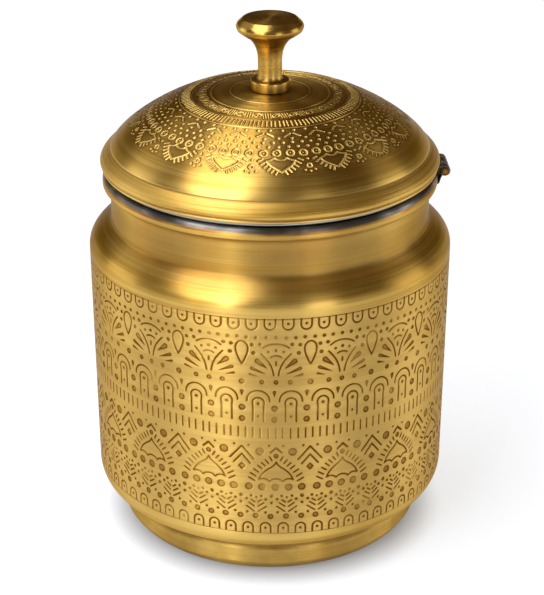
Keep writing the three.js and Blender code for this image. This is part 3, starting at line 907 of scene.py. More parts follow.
def row_distance(stamp, count, front_count, middle, theta, radius, y, seed):
    """Distance to a row of stamps. The turn is count times the angle, plus a sine that gives the front its
    own count. What is left after the nearest whole turn, times the pitch, is x."""
    drift = (front_count - count) / (2 * math.pi)
    turn = count * theta / (2 * math.pi) + drift * np.sin(theta)
    turn -= count * middle / (2 * math.pi) + drift * math.sin(middle)
    cell = np.round(turn)
    pitch = 2 * math.pi * radius / (count + (front_count - count) * np.cos(theta))
    stray = np.random.default_rng(seed).normal(0, HAND, (2, count))
    index = cell.astype(int) % count
    return stamp((turn - cell) * pitch - stray[0][index], y - stray[1][index])


WALL_MIDDLE = 59.5  # radius at which the wall's stamps are drawn
# stamp, count in a turn, count as the front shows it, middle of a stamp and base height in mm, and its reach
# down and up
WALL_ROWS = (
    (cup, 66, 66.5, 0.0, 95.1, 2.4, 2.4),
    (small_dot, 124, 124.2, 1.9, 90.85, 1.0, 1.0),
    (fan, 18, 17.55, 1.9, 75.35, 1.4, 14.4),
    (teardrop, 18, 17.55, 12.55, 75.35, 1.4, 14.6),
    (arch, 37, 36.65, -3.6, 61.4, 0.6, 11.6),
    (between_arches, 37, 36.65, 1.5, 61.4, 0.6, 11.6),
    (tick, 158, 157.9, -0.6, 57.35, 2.3, 2.3),
    (canopy, 17, 17.03, 2.0, 40.4, 1.6, 13.2),
    (chevrons, 17, 17.03, 13.0, 40.4, 0.0, 12.6),
    (five_dots, 17, 17.03, 1.8, 37.6, 1.8, 1.8),
    (vee, 38, 37.9, 5.5, 28.6, 1.2, 7.0),
    (medium_dot, 76, 75.9, 0.2, 26.85, 1.4, 1.4),
    (hoop, 66, 66.2, -1.4, 22.7, 2.4, 2.3),
)
WALL_BORDERS = ((97.0, 0.13), (20.45, 0.11))
LEAN_LEAST, LEAN_MOST = 0.5, 1.2
LEAN_MIDDLE, LEAN_REACH = 52.0, 45.0


def wall_marks(theta, height):
    """Distance to the wall's nearest mark, over arrays of angle from the front and height."""
    share = np.clip(1 - ((height - LEAN_MIDDLE) / LEAN_REACH) ** 2, 0, 1)
    level = height + (LEAN_LEAST + LEAN_MOST * share) * np.sin(theta)
    out = np.full(theta.shape, FAR)
    for seed, (stamp, count, front_count, middle, base, down, up) in enumerate(WALL_ROWS):
        near = (level > base - down) & (level < base + up)
        found = row_distance(stamp, count, front_count, middle / WALL_MIDDLE, theta[near], WALL_MIDDLE,
                             level[near] - base, seed)
        out[near] = np.minimum(out[near], found)
    for height_of_line, half in WALL_BORDERS:
        out = np.minimum(out, np.abs(level - height_of_line) - half)
    return out


# %% [markdown]
# ## The wall and its pressed band
# The wall's ornament is real relief. The band is cut into rings, each a closed ring of sheet: its outside
# is a fine grid, pushed in where a mark is, and its inside is plain and tinned. A groove's depth is a
# smooth step of the distance, so that its sides slope.

# %% Ring with relief
SLOPE_OUTSIDE, SLOPE_INSIDE = -0.12, 0.24  # a groove's side, from outside the mark's edge to inside it


def smooth_step(value, low, high):
    """0 below low, 1 above high, and a smooth S between."""
    t = np.clip((value - low) / (high - low), 0, 1)
    return t * t * (3 - 2 * t)


def relief_ring(name, outline, thickness, start, end, spacing, segments, marks_of, depth, raised, **piece):
    """A closed ring of sheet along a stretch of an outline. Its outer points move inwards along the normal by
    the depth of the marks, and outwards where raised says."""
    rows = max(int(round((end - start) / spacing)), 2) + 1
    places = np.linspace(start, end, rows)
    outer = sampled(outline, places)
    normal = outward(outer)
    theta = np.arange(segments) * 2 * math.pi / segments
    theta_grid = np.broadcast_to((theta + math.pi) % (2 * math.pi) - math.pi, (rows, segments))
    place_grid = np.broadcast_to(places[:, None], (rows, segments))
    distance = marks_of(theta_grid, place_grid, outer)
    ends = np.minimum(np.arange(rows), np.arange(rows)[::-1])[:, None] > 0
    push = ends * (raised(place_grid) - depth * smooth_step(-distance, SLOPE_OUTSIDE, SLOPE_INSIDE))
    radius = outer[:, 0, None] + push * normal[:, 0, None]
    height = outer[:, 1, None] + push * normal[:, 1, None]
    angle = front + theta
    skin = np.stack([radius * np.cos(angle), radius * np.sin(angle), height], axis=-1)
    inner = (outer - normal * thickness)[[rows - 1, rows // 2, 0]]
    grid = np.concatenate([skin, around(inner, segments)])
    marks = np.concatenate([np.clip(distance, -FAR, FAR), np.full((3, segments), FAR)])
    row_materials = np.concatenate([np.zeros(rows - 1, int), [1, 1, 1, 1]])
    sharp = [0, rows - 1, rows, rows + 2]
    mesh = mesh_from_grid(name, grid, True, row_materials, {"mark": marks}, sharp)
    return shown(name, mesh, **piece)


# %% The wall's outline
FLOOR_RADII = (0, 8, 16, 24, 34, 44)
corner = bezier([
    (LOWER_WALL - CORNER_WIDTH, floor_z),
    (LOWER_WALL - CORNER_WIDTH * 0.37, floor_z + CORNER_HEIGHT * 0.06),
    (LOWER_WALL, floor_z + CORNER_HEIGHT * 0.38),
    (LOWER_WALL, wall_bottom),
], 33)
shoulder = bezier([
    (BELLY, wall_top),
    (BELLY, wall_top + SHOULDER_HEIGHT * 0.62),
    (NECK, neck_bottom - SHOULDER_HEIGHT * 0.2),
    (NECK, neck_bottom),
], 41)
wall = chain(
    [(radius, floor_z) for radius in FLOOR_RADII],
    corner,
    np.linspace((LOWER_WALL, wall_bottom), (BELLY, wall_top), 40),
    shoulder,
    np.linspace((NECK, neck_bottom), (NECK, neck_top), 24),
)
wall_run = travelled(wall)
BAND_LOW, BAND_HIGH = 19.6, 97.6
rising = slice(len(FLOOR_RADII), None)
band_start = float(np.interp(BAND_LOW, wall[rising, 1], wall_run[rising]))
band_end = float(np.interp(BAND_HIGH, wall[rising, 1], wall_run[rising]))
print("band runs %.1f mm along the wall" % (band_end - band_start))


# %% Pressed band
def wall_marks_of(theta, places, outer):
    """The wall's marks by angle and height."""
    return wall_marks(theta, np.broadcast_to(outer[:, 1, None], theta.shape))


def flat(places):
    """Nothing stands proud of the wall."""
    return np.zeros(places.shape)


BAND_RINGS = 5
GRID = 0.25
MARK_DEPTH = 0.14
of_wall = dict(body="pot", replaced=["pot_body"], slot="spun_brass")
edges = np.linspace(band_start, band_end, BAND_RINGS + 1)
band_segments = int(round(2 * math.pi * BELLY / GRID / 8) * 8)
for number, (start, end) in enumerate(zip(edges[:-1], edges[1:]), 1):
    relief_ring(
        "pressed_band_%d" % number, wall, BODY_SHEET, start, end, GRID, band_segments, wall_marks_of,
        MARK_DEPTH, flat, finishes=[pressed_brass, tin], **of_wall,
    )

# %% [markdown]
# ## Shoulder, neck and lip
# Above the band the same sheet turns in over the shoulder, rises as a short neck and flares to a lip. The
# lip is rolled thick and flat on top, where the lid rests. The inside follows the outside at the sheet's
# thickness.

# %% Shoulder, neck and lip
PLAIN_SEGMENTS = 384  # columns round the large plain pieces
MOUTH = NECK - BODY_SHEET
flare = bezier([
    (NECK, neck_top),
    (NECK + (LIP - NECK) * 0.2, neck_top + LIP_FLARE * 0.75),
    (LIP, lip_edge),
], 12)
LIP_THICK = lip_top - lip_edge
lip = rounded([
    flare[-2],
    (LIP, lip_edge),
    (LIP, lip_edge + LIP_THICK * 0.45),
    (LIP - LIP_ROUND * 0.5, lip_top - LIP_THICK * 0.12),
    (LIP - LIP_ROUND, lip_top),
    (MOUTH + LIP_ROUND, lip_top),
    (MOUTH, lip_top - LIP_THICK * 0.35),
    (MOUTH, lip_edge),
], 0.5, 6)
upper = chain(sampled(wall, np.linspace(band_end, wall_run[-1], 90)), flare[1:-1], lip[1:])
upper_inside = (wall - outward(wall) * BODY_SHEET)[::-1]
upper_inside = upper_inside[(upper_inside[:, 1] < neck_top) & (upper_inside[:, 1] > BAND_HIGH)]
inner_edge = sampled(wall, [band_end])[0] - np.array([BODY_SHEET, 0])
upper_loop = chain(upper, upper_inside, [inner_edge])
COAT_FROM, COAT_OVER = 0.38, 0.35  # shares of the lip's thickness over which the tin sets in
coat = np.clip((upper_loop[:, 1] - lip_edge - LIP_THICK * COAT_FROM) / (LIP_THICK * COAT_OVER), 0, 1)
coat[upper_loop[:, 0] < NECK - BODY_SHEET / 2] = 1
# Painted shade in the crease under the shoulder, under the lip, at the lip's edge, and broadly over the neck
upper_painted_shade = (
    (NECK, neck_bottom - 0.1, 1.9, 0.42),
    (NECK, neck_top + 0.2, 0.9, 0.4),
    (LIP, lip_edge, 0.5, 0.4),
    (NECK, (neck_bottom + neck_top) / 2, 7, 0.36),
)
turned("shoulder_and_lip", upper_loop, PLAIN_SEGMENTS, [(len(upper), len(upper_loop) - 1, 1)], upper_painted_shade,
       coat, finishes=[lip_brass, tin], **of_wall)

# %% [markdown]
# Below the band the wall turns in to a flat floor. The outline starts on the axis and comes back to it on the
# inside, so the first and the last row of the mesh are single points.

# %% Floor and lower corner
FLOOR_END = 50
FOOT_MEETS = 50.8  # radius where the foot meets the floor
lower = sampled(wall, np.concatenate([FLOOR_RADII, np.linspace(FLOOR_END, band_start, 40)]))
lower_inside = (wall - outward(wall) * BODY_SHEET)[::-1]
lower_inside = lower_inside[lower_inside[:, 1] < BAND_LOW]
lower_inside[-1, 0] = 0
band_edge = sampled(wall, [band_start - 0.1, band_start])
band_edge_inside = band_edge[1] - outward(band_edge)[1] * BODY_SHEET
lower_loop = chain(lower, [band_edge_inside], lower_inside)
# Painted shade where the foot meets the floor
turned("floor_and_corner", lower_loop, PLAIN_SEGMENTS, [(len(lower), len(lower_loop), 1)],
       [(FOOT_MEETS, floor_z, 1.5, 0.8)], finishes=[brushed_brass, tin], **of_wall)

# %% [markdown]
# ## Foot
# The foot is a spun ring: a band with a rolled lower edge, a hollow line above the band, and a flange that
# is soldered under the floor.

# %% Foot
FOOT = 50.4
FOOT_TAPER, FOOT_GROOVE, FOOT_BAND, FOOT_STEP = 0.4, 0.4, 9.6, 0.8
FOOT_SHEET, FOOT_ROLL, FOOT_UNDERCUT, FOOT_RIM = 1.5, 4, 4.2, 2
FOOT_SEGMENTS = 320
foot_stand = FOOT - FOOT_UNDERCUT
foot_inside = foot_stand - FOOT_RIM
foot_upper = FOOT - FOOT_TAPER
foot_hollow = foot_upper - FOOT_GROOVE
foot_edge, foot_top = foot_high[0], foot_high[2]
foot_flange = foot_top - FOOT_SHEET
foot_step_bottom = FOOT_BAND - FOOT_STEP
foot_roll = bezier([
    (foot_stand, 0),
    (foot_stand + FOOT_UNDERCUT * 0.48, FOOT_ROLL * 0.15),
    (FOOT, FOOT_ROLL),
], 20)
foot = chain(
    rounded([(foot_inside, 1.2), (foot_inside, 0.5), (foot_inside + 0.5, 0), (foot_stand, 0)], 0.3, 4),
    foot_roll[1:],
    np.linspace((FOOT, FOOT_ROLL), (foot_upper, foot_step_bottom), 18)[1:-1],
    rounded([
        (foot_upper + 0.05, foot_step_bottom - 0.3), (foot_upper, foot_step_bottom),
        (foot_hollow, FOOT_BAND), (foot_hollow, FOOT_BAND + FOOT_STEP),
        (foot_edge - 0.1, foot_top - 0.2), (foot_edge - 0.3, foot_top), (foot_inside, foot_top),
        (foot_inside, foot_flange), (foot_hollow - FOOT_SHEET, foot_flange),
        (foot_upper - FOOT_SHEET, FOOT_ROLL + FOOT_STEP), (foot_inside, FOOT_ROLL), (foot_inside, 1.2),
    ], 0.3, 5),
)
# Painted shade in the foot's hollow line, at its top edge and round its lower roll
foot_painted_shade = (
    (foot_hollow, FOOT_BAND + 0.4, 0.55, 0.6),
    (foot_edge, foot_top, 0.7, 0.6),
    (foot_stand, 0, 3.4, 0.7),
)
turned("foot", foot[:-1], FOOT_SEGMENTS, painted_shade=foot_painted_shade,
       body="pot", replaced=["foot_ring"], slot="foot_brass", finishes=[foot_brass])

# %% [markdown]
# ## Stamps of the dome
# The dome carries rings of smaller stamps. Here x runs round the dome and y runs outwards along its
# surface. The marks are real grooves, so their sloping sides catch the light.

# %% Stamps of the dome
def shield(x, y):
    """The canopy stamp again, smaller, with its point outwards and rays round it."""
    side = np.abs(x)
    edge = [(4.6, 0.7), (3.9, 1.9), (2.9, 2.9), (1.5, 3.9), (0, 5.0)]
    hem = [(4.6, 0.7), (3.5, 0.4), (2.6, 0.0), (2.0, -0.5), (1.3, 0.1), (0.6, 0.35), (0, 0.4)]
    rays = ((1.5, 5.1, 60, 0.7), (2.7, 4.4, 52, 0.7), (3.75, 3.6, 45, 0.7), (4.75, 2.6, 38, 0.75),
            (5.6, 1.5, 32, 0.75), (6.2, 0.3, 28, 0.8))
    return nearest(stroke(side, y, edge, 0.3), stroke(side, y, hem, 0.28), dashes(side, y, rays, 0.27))


def between_shields(x, y):
    """A small ring among dots, between two shields."""
    side = np.abs(x)
    dots = (((1.6, 1.6), 0.38), ((0, 2.1), 0.38), ((0, -2.6), 0.45))
    return nearest(ring(side, y, (0, 0), 0.75, 0.26), *(dot(side, y, at, r) for at, r in dots))


def ringed_circle(x, y):
    """A ring round a point."""
    return nearest(ring(x, y, (0, 0), 1.15, 0.3), dot(x, y, (0, 0), 0.22))


def roof(x, y):
    """Two slanting dashes that meet towards the middle of the dome."""
    return stroke(np.abs(x), y, [(0.5, -0.7), (2.5, 0.65)], 0.3)


def eyelet(x, y):
    """A thinner ring round a larger point."""
    return nearest(ring(x, y, (0, 0), 1.1, 0.24), dot(x, y, (0, 0), 0.28))


def slanted_rays(x, y):
    """Four strokes side by side that all lean the same way."""
    paths = ([(step - 0.25, -1.6), (step + 0.25, 1.6)] for step in (-1.2, -0.4, 0.4, 1.2))
    return nearest(*(stroke(x, y, path, 0.14) for path in paths))


def radial_tick(x, y):
    """One stroke of the ticked ring."""
    return stroke(x, y, [(0, -1.4), (0, 1.4)], 0.23)


def fine_dot(x, y):
    """One dot of the finest rows."""
    return dot(x, y, (0, 0), 0.52)


# stamp, count in a turn, count as the front shows it, middle of a stamp in degrees, place along the dome in
# mm from its top, and its reach inwards and outwards
DOME_ROWS = (
    (eyelet, 25, 24.6, 4.5, 22.2, 1.8, 1.8),
    (slanted_rays, 25, 24.6, 11.8, 22.2, 2.2, 2.2),
    (radial_tick, 131, 131.0, 0.5, 27.5, 1.9, 1.9),
    (fine_dot, 52, 52.0, 0.0, 30.9, 0.9, 0.9),
    (roof, 25, 25.0, 11.7, 33.0, 1.4, 1.4),
    (fine_dot, 50, 50.0, 4.3, 34.6, 0.9, 0.9),
    (fine_dot, 75, 75.0, 1.5, 36.3, 0.9, 0.9),
    (fine_dot, 75, 75.0, 4.0, 38.1, 0.9, 0.9),
    (ringed_circle, 60, 59.5, 2.8, 40.6, 1.8, 1.8),
    (shield, 15, 15.45, 4.3, 42.9, 1.3, 6.3),
    (between_shields, 15, 15.45, 15.95, 45.9, 3.4, 2.9),
)
DOME_SEED = 40  # the first of the dome's random seeds, past the wall's
DOME_LINES = ((12.9, 0.22), (19.3, 0.28), (25.45, 0.16), (29.75, 0.16))
RAISED_FROM, RAISED_TO, RAISED_BY, RAISED_SLOPE = 25.6, 29.5, 0.22, 0.2

# %% [markdown]
# ## Lid
# The lid is one sheet again. From its edge inwards come a small bead, a rounded roll, a crease, the dome's
# steep flank and its flatter crown. The chased zone is made of rings with relief, like the wall. The plain
# parts are turned outlines.

# %% The lid's outline
flank = dome_radius - CROWN
crown_z = dome_bottom + FLANK_HEIGHT
dome = chain(
    bezier([
        (dome_radius, dome_bottom),
        (dome_radius - flank * 0.09, dome_bottom + FLANK_HEIGHT * 0.3),
        (CROWN + flank * 0.34, crown_z - flank * 0.34 * CROWN_SLOPE),
        (CROWN, crown_z),
    ], 80),
    bezier([
        (CROWN, crown_z),
        (CROWN * 0.73, crown_z + CROWN * 0.27 * CROWN_SLOPE),
        (CROWN * 0.33, dome_top),
        (LID_HOLE, dome_top),
    ], 80),
)
dome_run = travelled(dome)
from_top = dome_run[-1] + LID_HOLE  # distance along the dome from the axis to its lower edge
CHASED_IN, CHASED_OUT = 11.0, 49.3


def dome_marks_of(theta, places, outer):
    """Distance to the dome's nearest mark, over angle and distance along the outline from its lower edge."""
    run = from_top - places
    radius = np.broadcast_to(outer[:, 0, None], theta.shape)
    out = np.full(theta.shape, FAR)
    for seed, (stamp, count, front_count, middle, base, down, up) in enumerate(DOME_ROWS, DOME_SEED):
        near = (run > base - down) & (run < base + up)
        if near.any():
            found = row_distance(stamp, count, front_count, math.radians(middle), theta[near], radius[near],
                                 run[near] - base, seed)
            out[near] = np.minimum(out[near], found)
    for place, half in DOME_LINES:
        out = np.minimum(out, np.abs(run - place) - half)
    return out


def dome_raised(places):
    """The ticked ring stands a little proud of the dome, with a short slope at each side."""
    run = from_top - places
    inner_side = smooth_step(run, RAISED_FROM - RAISED_SLOPE, RAISED_FROM + RAISED_SLOPE)
    return RAISED_BY * inner_side * smooth_step(-run, -RAISED_TO - RAISED_SLOPE, -RAISED_TO + RAISED_SLOPE)


# %% Chased rings of the dome
# far end and near end as distances from the dome's top, and columns round
CHASED_SPLITS = ((CHASED_OUT, 42.2, 1728), (42.2, 34.8, 1536), (34.8, 24.8, 1280), (24.8, CHASED_IN, 896))
CHASED_GRID = 0.16
CHASED_DEPTH = 0.20
coarser = 1
of_lid = dict(body="lid", replaced=["lid_dome"], slot="lid_brass")
for number, (far_end, near_end, segments) in enumerate(CHASED_SPLITS, 1):
    relief_ring(
        "chased_dome_%d" % number, dome, LID_SHEET, from_top - far_end, from_top - near_end,
        CHASED_GRID * coarser, segments // coarser, dome_marks_of, CHASED_DEPTH, dome_raised,
        finishes=[chased_brass, tin], **of_lid,
    )

# %% [markdown]
# The brim's bead and crease are coloured pale, a painted highlight, and its roll is duller than the rest. Two
# fine lines are turned into the roll. Painted shade darkens them a little, and most of all the crease under
# the dome, as a narrow dark line inside the pale crease.

# %% Brim and lower flank
LINE_DEPTH, LINE_REACH = 0.05, 0.12
LINE_PLACES = (0.36, 0.62)  # as shares of the roll
bead = rounded([
    (SEAT_INNER, brim_bottom),
    (BEAD - 0.4, brim_bottom),
    (BEAD, brim_bottom + 0.4),
    (BEAD, bead_top - 0.35),
    (BEAD - 0.35, bead_top),
    (BEAD, bead_top + 0.3),
], 0.3, 6)
roll = bezier([
    (BEAD, bead_top + 0.3),
    (BRIM + (BRIM - BEAD) * 1.5, bead_top + ROLL_HEIGHT * 0.25),
    (BRIM - ROLL_WIDTH * 0.45, bead_top + ROLL_HEIGHT * 0.75),
    (BRIM - ROLL_WIDTH, roll_top),
], 120)
roll_run = travelled(roll)
fine_lines = [sampled(roll, [share * roll_run[-1]])[0] for share in LINE_PLACES]
for share in LINE_PLACES:
    near = np.exp(-((roll_run - share * roll_run[-1]) / LINE_REACH) ** 2)[:, None]
    roll = roll - outward(roll) * near * LINE_DEPTH
crease = rounded([roll[-1], (dome_radius, dome_bottom), dome[2]], 0.38, 8)
flank_run = sampled(dome, np.linspace(dome_run[2], from_top - CHASED_OUT, 40))
flank_inside = (flank_run - outward(flank_run) * LID_SHEET)[::-1]
skirt = chain(bead, roll, crease[1:], flank_run)
skirt_loop = chain(skirt, flank_inside, [(SEAT_INNER, bead_top + LID_SHEET), (SEAT_INNER, brim_bottom)])[:-1]
# Painted shade: a narrow dark line in the crease under the dome, at the bead's top and in the roll's fine
# lines
skirt_painted_shade = [
    (dome_radius + 0.1, dome_bottom + 0.15, 0.32, 0.95),
    (BEAD - 0.35, bead_top, 0.4, 0.6),
    *((*place, 0.2, 0.22) for place in fine_lines),
]
roll_end = len(bead) + len(roll)
# Finish 3, on the bead and the crease, is the painted highlight
skirt_rows = (
    (len(skirt), len(skirt_loop), 1),
    (len(bead), roll_end, 2),
    (0, len(bead), 3),
    (roll_end, roll_end + len(crease) - 1, 3),
)
turned("brim_and_flank", skirt_loop, PLAIN_SEGMENTS, skirt_rows, skirt_painted_shade,
       finishes=[brushed_brass, tin, roll_brass, painted_highlight_brass], **of_lid)

# %% Crown round the knob
CROWN_SEGMENTS = 256
COLLAR_MEETS = 6.3  # radius where the knob's collar meets the lid
crown_run = sampled(dome, np.linspace(from_top - CHASED_IN, dome_run[-1], 24))
crown_inside = (crown_run - outward(crown_run) * LID_SHEET)[::-1]
crown_inside[0, 0] = LID_HOLE
crown_loop = chain(crown_run, crown_inside)
# Painted shade round the foot of the knob's collar
turned("crown", crown_loop, CROWN_SEGMENTS, [(len(crown_run), len(crown_loop), 1)],
       [(COLLAR_MEETS, dome_top, 1.3, 0.6)], finishes=[brushed_brass, tin], **of_lid)

# %% [markdown]
# ## Seat
# The lid's edge is rolled inwards, and the roll rests on the lip. It is a ring that stops on both sides of
# the hinge, where the strap passes, so it is a section carried along an arc with closed ends.

# %% Seat
STRAP_HALF = 6.3
SEAT_SIDES, SEAT_STEPS = 16, 240
gap_angle = math.asin(STRAP_HALF / SEAT_INNER)


def swept(name, section, ends, steps, **piece):
    """Carries a closed section of radius and height round the axis between two angles. A row that shrinks to
    the section's middle closes each end."""
    angle = np.linspace(ends[0], ends[1], steps)
    angle = np.concatenate([[angle[0]], angle, [angle[-1]]])[:, None]
    cap = np.broadcast_to(section.mean(axis=0), (1, *section.shape))
    rows = np.concatenate([cap, np.broadcast_to(section, (steps, *section.shape)), cap])
    radius, height = rows[..., 0], rows[..., 1]
    grid = np.stack([radius * np.cos(angle), radius * np.sin(angle), height], axis=-1)
    mesh = mesh_from_grid(name, grid, False, sharp_rows=[1, steps])
    return shown(name, mesh, **piece)


turn = np.radians(np.arange(SEAT_SIDES) * 360 / SEAT_SIDES)
seat_section = np.stack([
    (SEAT_INNER + SEAT_OUTER) / 2 + (SEAT_OUTER - SEAT_INNER) / 2 * np.cos(turn),
    (seat_bottom + brim_bottom) / 2 + (brim_bottom - seat_bottom) / 2 * np.sin(turn),
], axis=1)
hinge_side = math.pi / 2
seat_ends = (hinge_side + gap_angle, hinge_side + 2 * math.pi - gap_angle)
swept("seat", seat_section, seat_ends, SEAT_STEPS, finishes=[tin], **of_lid)

# %% [markdown]
# ## Knob
# The knob is turned from bar: a collar, a slim stem, a flare and a bevelled head with a flat top. Turning
# leaves small lines where two cuts meet, so the outline has short steps there.

# %% Knob
COLLAR, COLLAR_HEIGHT = 6.3, 3.4
STEM, STEM_HEIGHT = 3.9, 5.9
FLARE_HEIGHT, FLARE = 8.4, 7.4
HEAD = knob_high[0]
HEAD_HEIGHT, HEAD_TOP = 6.1, 8.9
SCREW_GRIP, GAP = 8.6, 0.3
KNOB_SEGMENTS = 192
knob_bottom = knob_low[2]
collar_top = knob_bottom + COLLAR_HEIGHT
flare_bottom = collar_top + STEM_HEIGHT
head_bottom = flare_bottom + FLARE_HEIGHT
knob_top = knob_high[2]
bore_top = knob_bottom + SCREW_GRIP + GAP
knob_outline = chain(
    rounded([
        (0, bore_top), (LID_HOLE, bore_top), (LID_HOLE, knob_bottom), (COLLAR, knob_bottom),
        (COLLAR, collar_top), (STEM + 0.9, collar_top),
    ], 0.45, 6),
    bezier([(STEM + 0.9, collar_top), (STEM, collar_top), (STEM, collar_top + 1.9)], 10),
    bezier([
        (STEM, flare_bottom),
        (STEM, flare_bottom + FLARE_HEIGHT * 0.45),
        (STEM + (FLARE - STEM) * 0.3, head_bottom - FLARE_HEIGHT * 0.25),
        (FLARE, head_bottom),
    ], 36),
    rounded([
        (FLARE, head_bottom), (FLARE + 0.6, head_bottom + 0.2),
        (HEAD - 0.5, head_bottom + HEAD_HEIGHT * 0.33), (HEAD, head_bottom + HEAD_HEIGHT * 0.55),
        (HEAD - 0.4, head_bottom + HEAD_HEIGHT * 0.72), (HEAD_TOP + 0.2, knob_top - 0.3),
        (HEAD_TOP - 0.3, knob_top), (0, knob_top),
    ], 0.3, 6),
)
# Painted shade at the collar's foot, above the collar and under the head
knob_painted_shade = (
    (COLLAR, knob_bottom, 0.6, 0.6),
    (STEM + 0.4, collar_top, 0.9, 0.6),
    (FLARE + 0.2, head_bottom, 0.45, 0.9),
)
turned("lid_knob", knob_outline, KNOB_SEGMENTS, painted_shade=knob_painted_shade,
       body="lid", replaced=["knob"], slot="turned_brass", finishes=[knob_brass])

# %% [markdown]
# ## Hinge
# The hinge is bent from thin sheet. A strap is a rounded section carried along a line in the plane across
# the pin. The lid's strap curls down round the pin at both sides, and the pot's leaf curls up between them.

# %% Straps
LEAF = 0.75
PIN = 0.75
KNUCKLE = PIN + GAP + LEAF
CURL = KNUCKLE - LEAF / 2
BARREL = 12
MIDDLE_KNUCKLE = 4
FACE_POINTS = 15  # points across each face of a strap
EDGE_LIFT = 0.45  # how far the corners of its section keep their distance from the middle


def curl(low, high, steps):
    """Points round the pin between two angles in degrees. Zero points away from the pot."""
    angle = np.radians(np.linspace(low, high, steps))
    return np.stack([pin_y + CURL * np.cos(angle), pin_z + CURL * np.sin(angle)], axis=1)


def strap(name, path, half_widths, middle, bend, **piece):
    """Carries a rounded oblong section along a path in the plane x = 0. Half_widths gives the section's half
    width at each point of the path. Bend is the radius of the wall that the sheet follows, or 0 where it lies
    flat."""
    path = np.array(path, float)
    side = outward(path)
    across = np.linspace(-1, 1, FACE_POINTS)
    across = np.concatenate([across, across[::-1]])
    lift = np.repeat([-0.5, 0.5], FACE_POINTS) * LEAF
    lift[[0, FACE_POINTS - 1, FACE_POINTS, 2 * FACE_POINTS - 1]] *= EDGE_LIFT
    rows = [(path[0], side[0], half_widths[0], bend[0], 0.0)]
    rows += [(p, s, w, b, 1.0) for p, s, w, b in zip(path, side, half_widths, bend)]
    rows += [(path[-1], side[-1], half_widths[-1], bend[-1], 0.0)]
    grid = []
    for p, s, w, b, size in rows:
        x = across * w * size
        drop = b - np.sqrt(np.maximum(b * b - x * x, 0)) if b else 0 * x
        out, up = p[0] + s[0] * lift * size - drop, p[1] + s[1] * lift * size
        grid.append(np.stack([middle + x, out, up], axis=-1))
    mesh = mesh_from_grid(name, np.stack(grid), False, sharp_rows=[1, len(rows) - 2])
    return shown(name, mesh, **piece)


# %% Lid's strap
TAB_HEIGHT, TAB_HALF = 4.4, 4.8
STRAP_STEPS = 8
WRAP = 150  # degrees that a knuckle curls past the level line
side_half = ((BARREL - MIDDLE_KNUCKLE) / 2 - GAP) / 2
side_middle = MIDDLE_KNUCKLE / 2 + GAP + side_half
strap_z = pin_z + CURL
tab_y = SEAT_INNER - GAP - LEAF
tab_z = strap_z - LEAF / 2
split_y = pin_y - KNUCKLE - GAP  # where the strap splits for the middle knuckle
of_strap = dict(body="lid", replaced=["lid_hinge_leaf"], slot="tinned_brass", finishes=[hinge_tin])
flat_strap = np.zeros(STRAP_STEPS)
for label, middle in (("left", -side_middle), ("right", side_middle)):
    line = chain(np.linspace((split_y, strap_z), (pin_y, strap_z), 5), curl(90, -WRAP, 40)[1:])
    half_widths = np.full(len(line), side_half)
    strap("lid_knuckle_" + label, line, half_widths, middle, np.zeros(len(line)), **of_strap)
line = np.linspace((tab_y, strap_z), (split_y, strap_z), STRAP_STEPS)
strap("lid_strap", line, np.full(STRAP_STEPS, BARREL / 2), 0, flat_strap, **of_strap)
line = np.linspace((tab_y, tab_z), (tab_y, tab_z + TAB_HEIGHT), STRAP_STEPS)
strap("lid_tab", line, np.full(STRAP_STEPS, TAB_HALF), 0, flat_strap, **of_strap)

# %% [markdown]
# The pot's leaf is soldered to the neck. It is cut from sheet that follows the neck and the underside of
# the lip, wide at its foot and narrow where it curls up round the pin. The pin is a short rod through all
# three knuckles, and both of its ends are hammered over.

# %% Pot's leaf
ROOT_WIDTH, ROOT_HEIGHT = 19, 2
leaf_gap = GAP + LEAF / 2
under = rounded([
    (NECK + leaf_gap, neck_top - ROOT_HEIGHT),
    (NECK + leaf_gap, neck_top),
    (LIP + 0.2, lip_edge - leaf_gap),
    (pin_y, pin_z - CURL),
], 0.8, 10)
line = chain(under, curl(-90, WRAP, 40)[1:])
run = travelled(line)
spread = smooth_step(-run, -run[len(under) - 1], -ROOT_HEIGHT)
half_widths = MIDDLE_KNUCKLE / 2 + (ROOT_WIDTH - MIDDLE_KNUCKLE) / 2 * spread
bend = np.where(line[:, 1] < lip_edge - leaf_gap, NECK, 0)
strap("pot_leaf", line, half_widths, 0, bend,
      body="pot", replaced=["pot_hinge_leaf"], slot="tinned_brass", finishes=[hinge_tin])

# %% Pin
PIN_HEAD_RADIUS, PIN_HEAD = 1.25, 0.6
PIN_SEGMENTS = 24
half_pin = (pin_high[0] - pin_low[0]) / 2
head_start = half_pin - PIN_HEAD
rod = rounded([
    (0, -half_pin), (PIN_HEAD_RADIUS, -half_pin), (PIN_HEAD_RADIUS, -head_start), (PIN, -head_start),
    (PIN, head_start), (PIN_HEAD_RADIUS, head_start), (PIN_HEAD_RADIUS, half_pin), (0, half_pin),
], 0.35, 6)
upright = around(rod, PIN_SEGMENTS)
lying = np.stack([upright[..., 2], upright[..., 0] + pin_y, upright[..., 1] + pin_z], axis=-1)
# Painted shade round the rim of each hammered end, which leaves only its middle bright
pin_painted_shade = painted_shade_along(rod, [(PIN_HEAD_RADIUS, end * half_pin, 0.75, 1.0) for end in (-1, 1)])
pin_values = {"painted_shade": np.repeat(pin_painted_shade, PIN_SEGMENTS)}
pin_mesh = mesh_from_grid("hinge_rod", lying, False, values=pin_values)
shown("hinge_rod", pin_mesh, "pot", ["hinge_pin"], "turned_brass", [pin_brass])

# %% [markdown]
# ## Screw and washer
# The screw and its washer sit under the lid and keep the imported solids' shape. They only need a steel
# finish.

# %% Screw and washer
for node in ("knob_screw", "knob_washer"):
    held = bpy.data.objects[node]
    held.data.materials.clear()
    held.data.materials.append(steel)
print("steel on the screw and its washer")

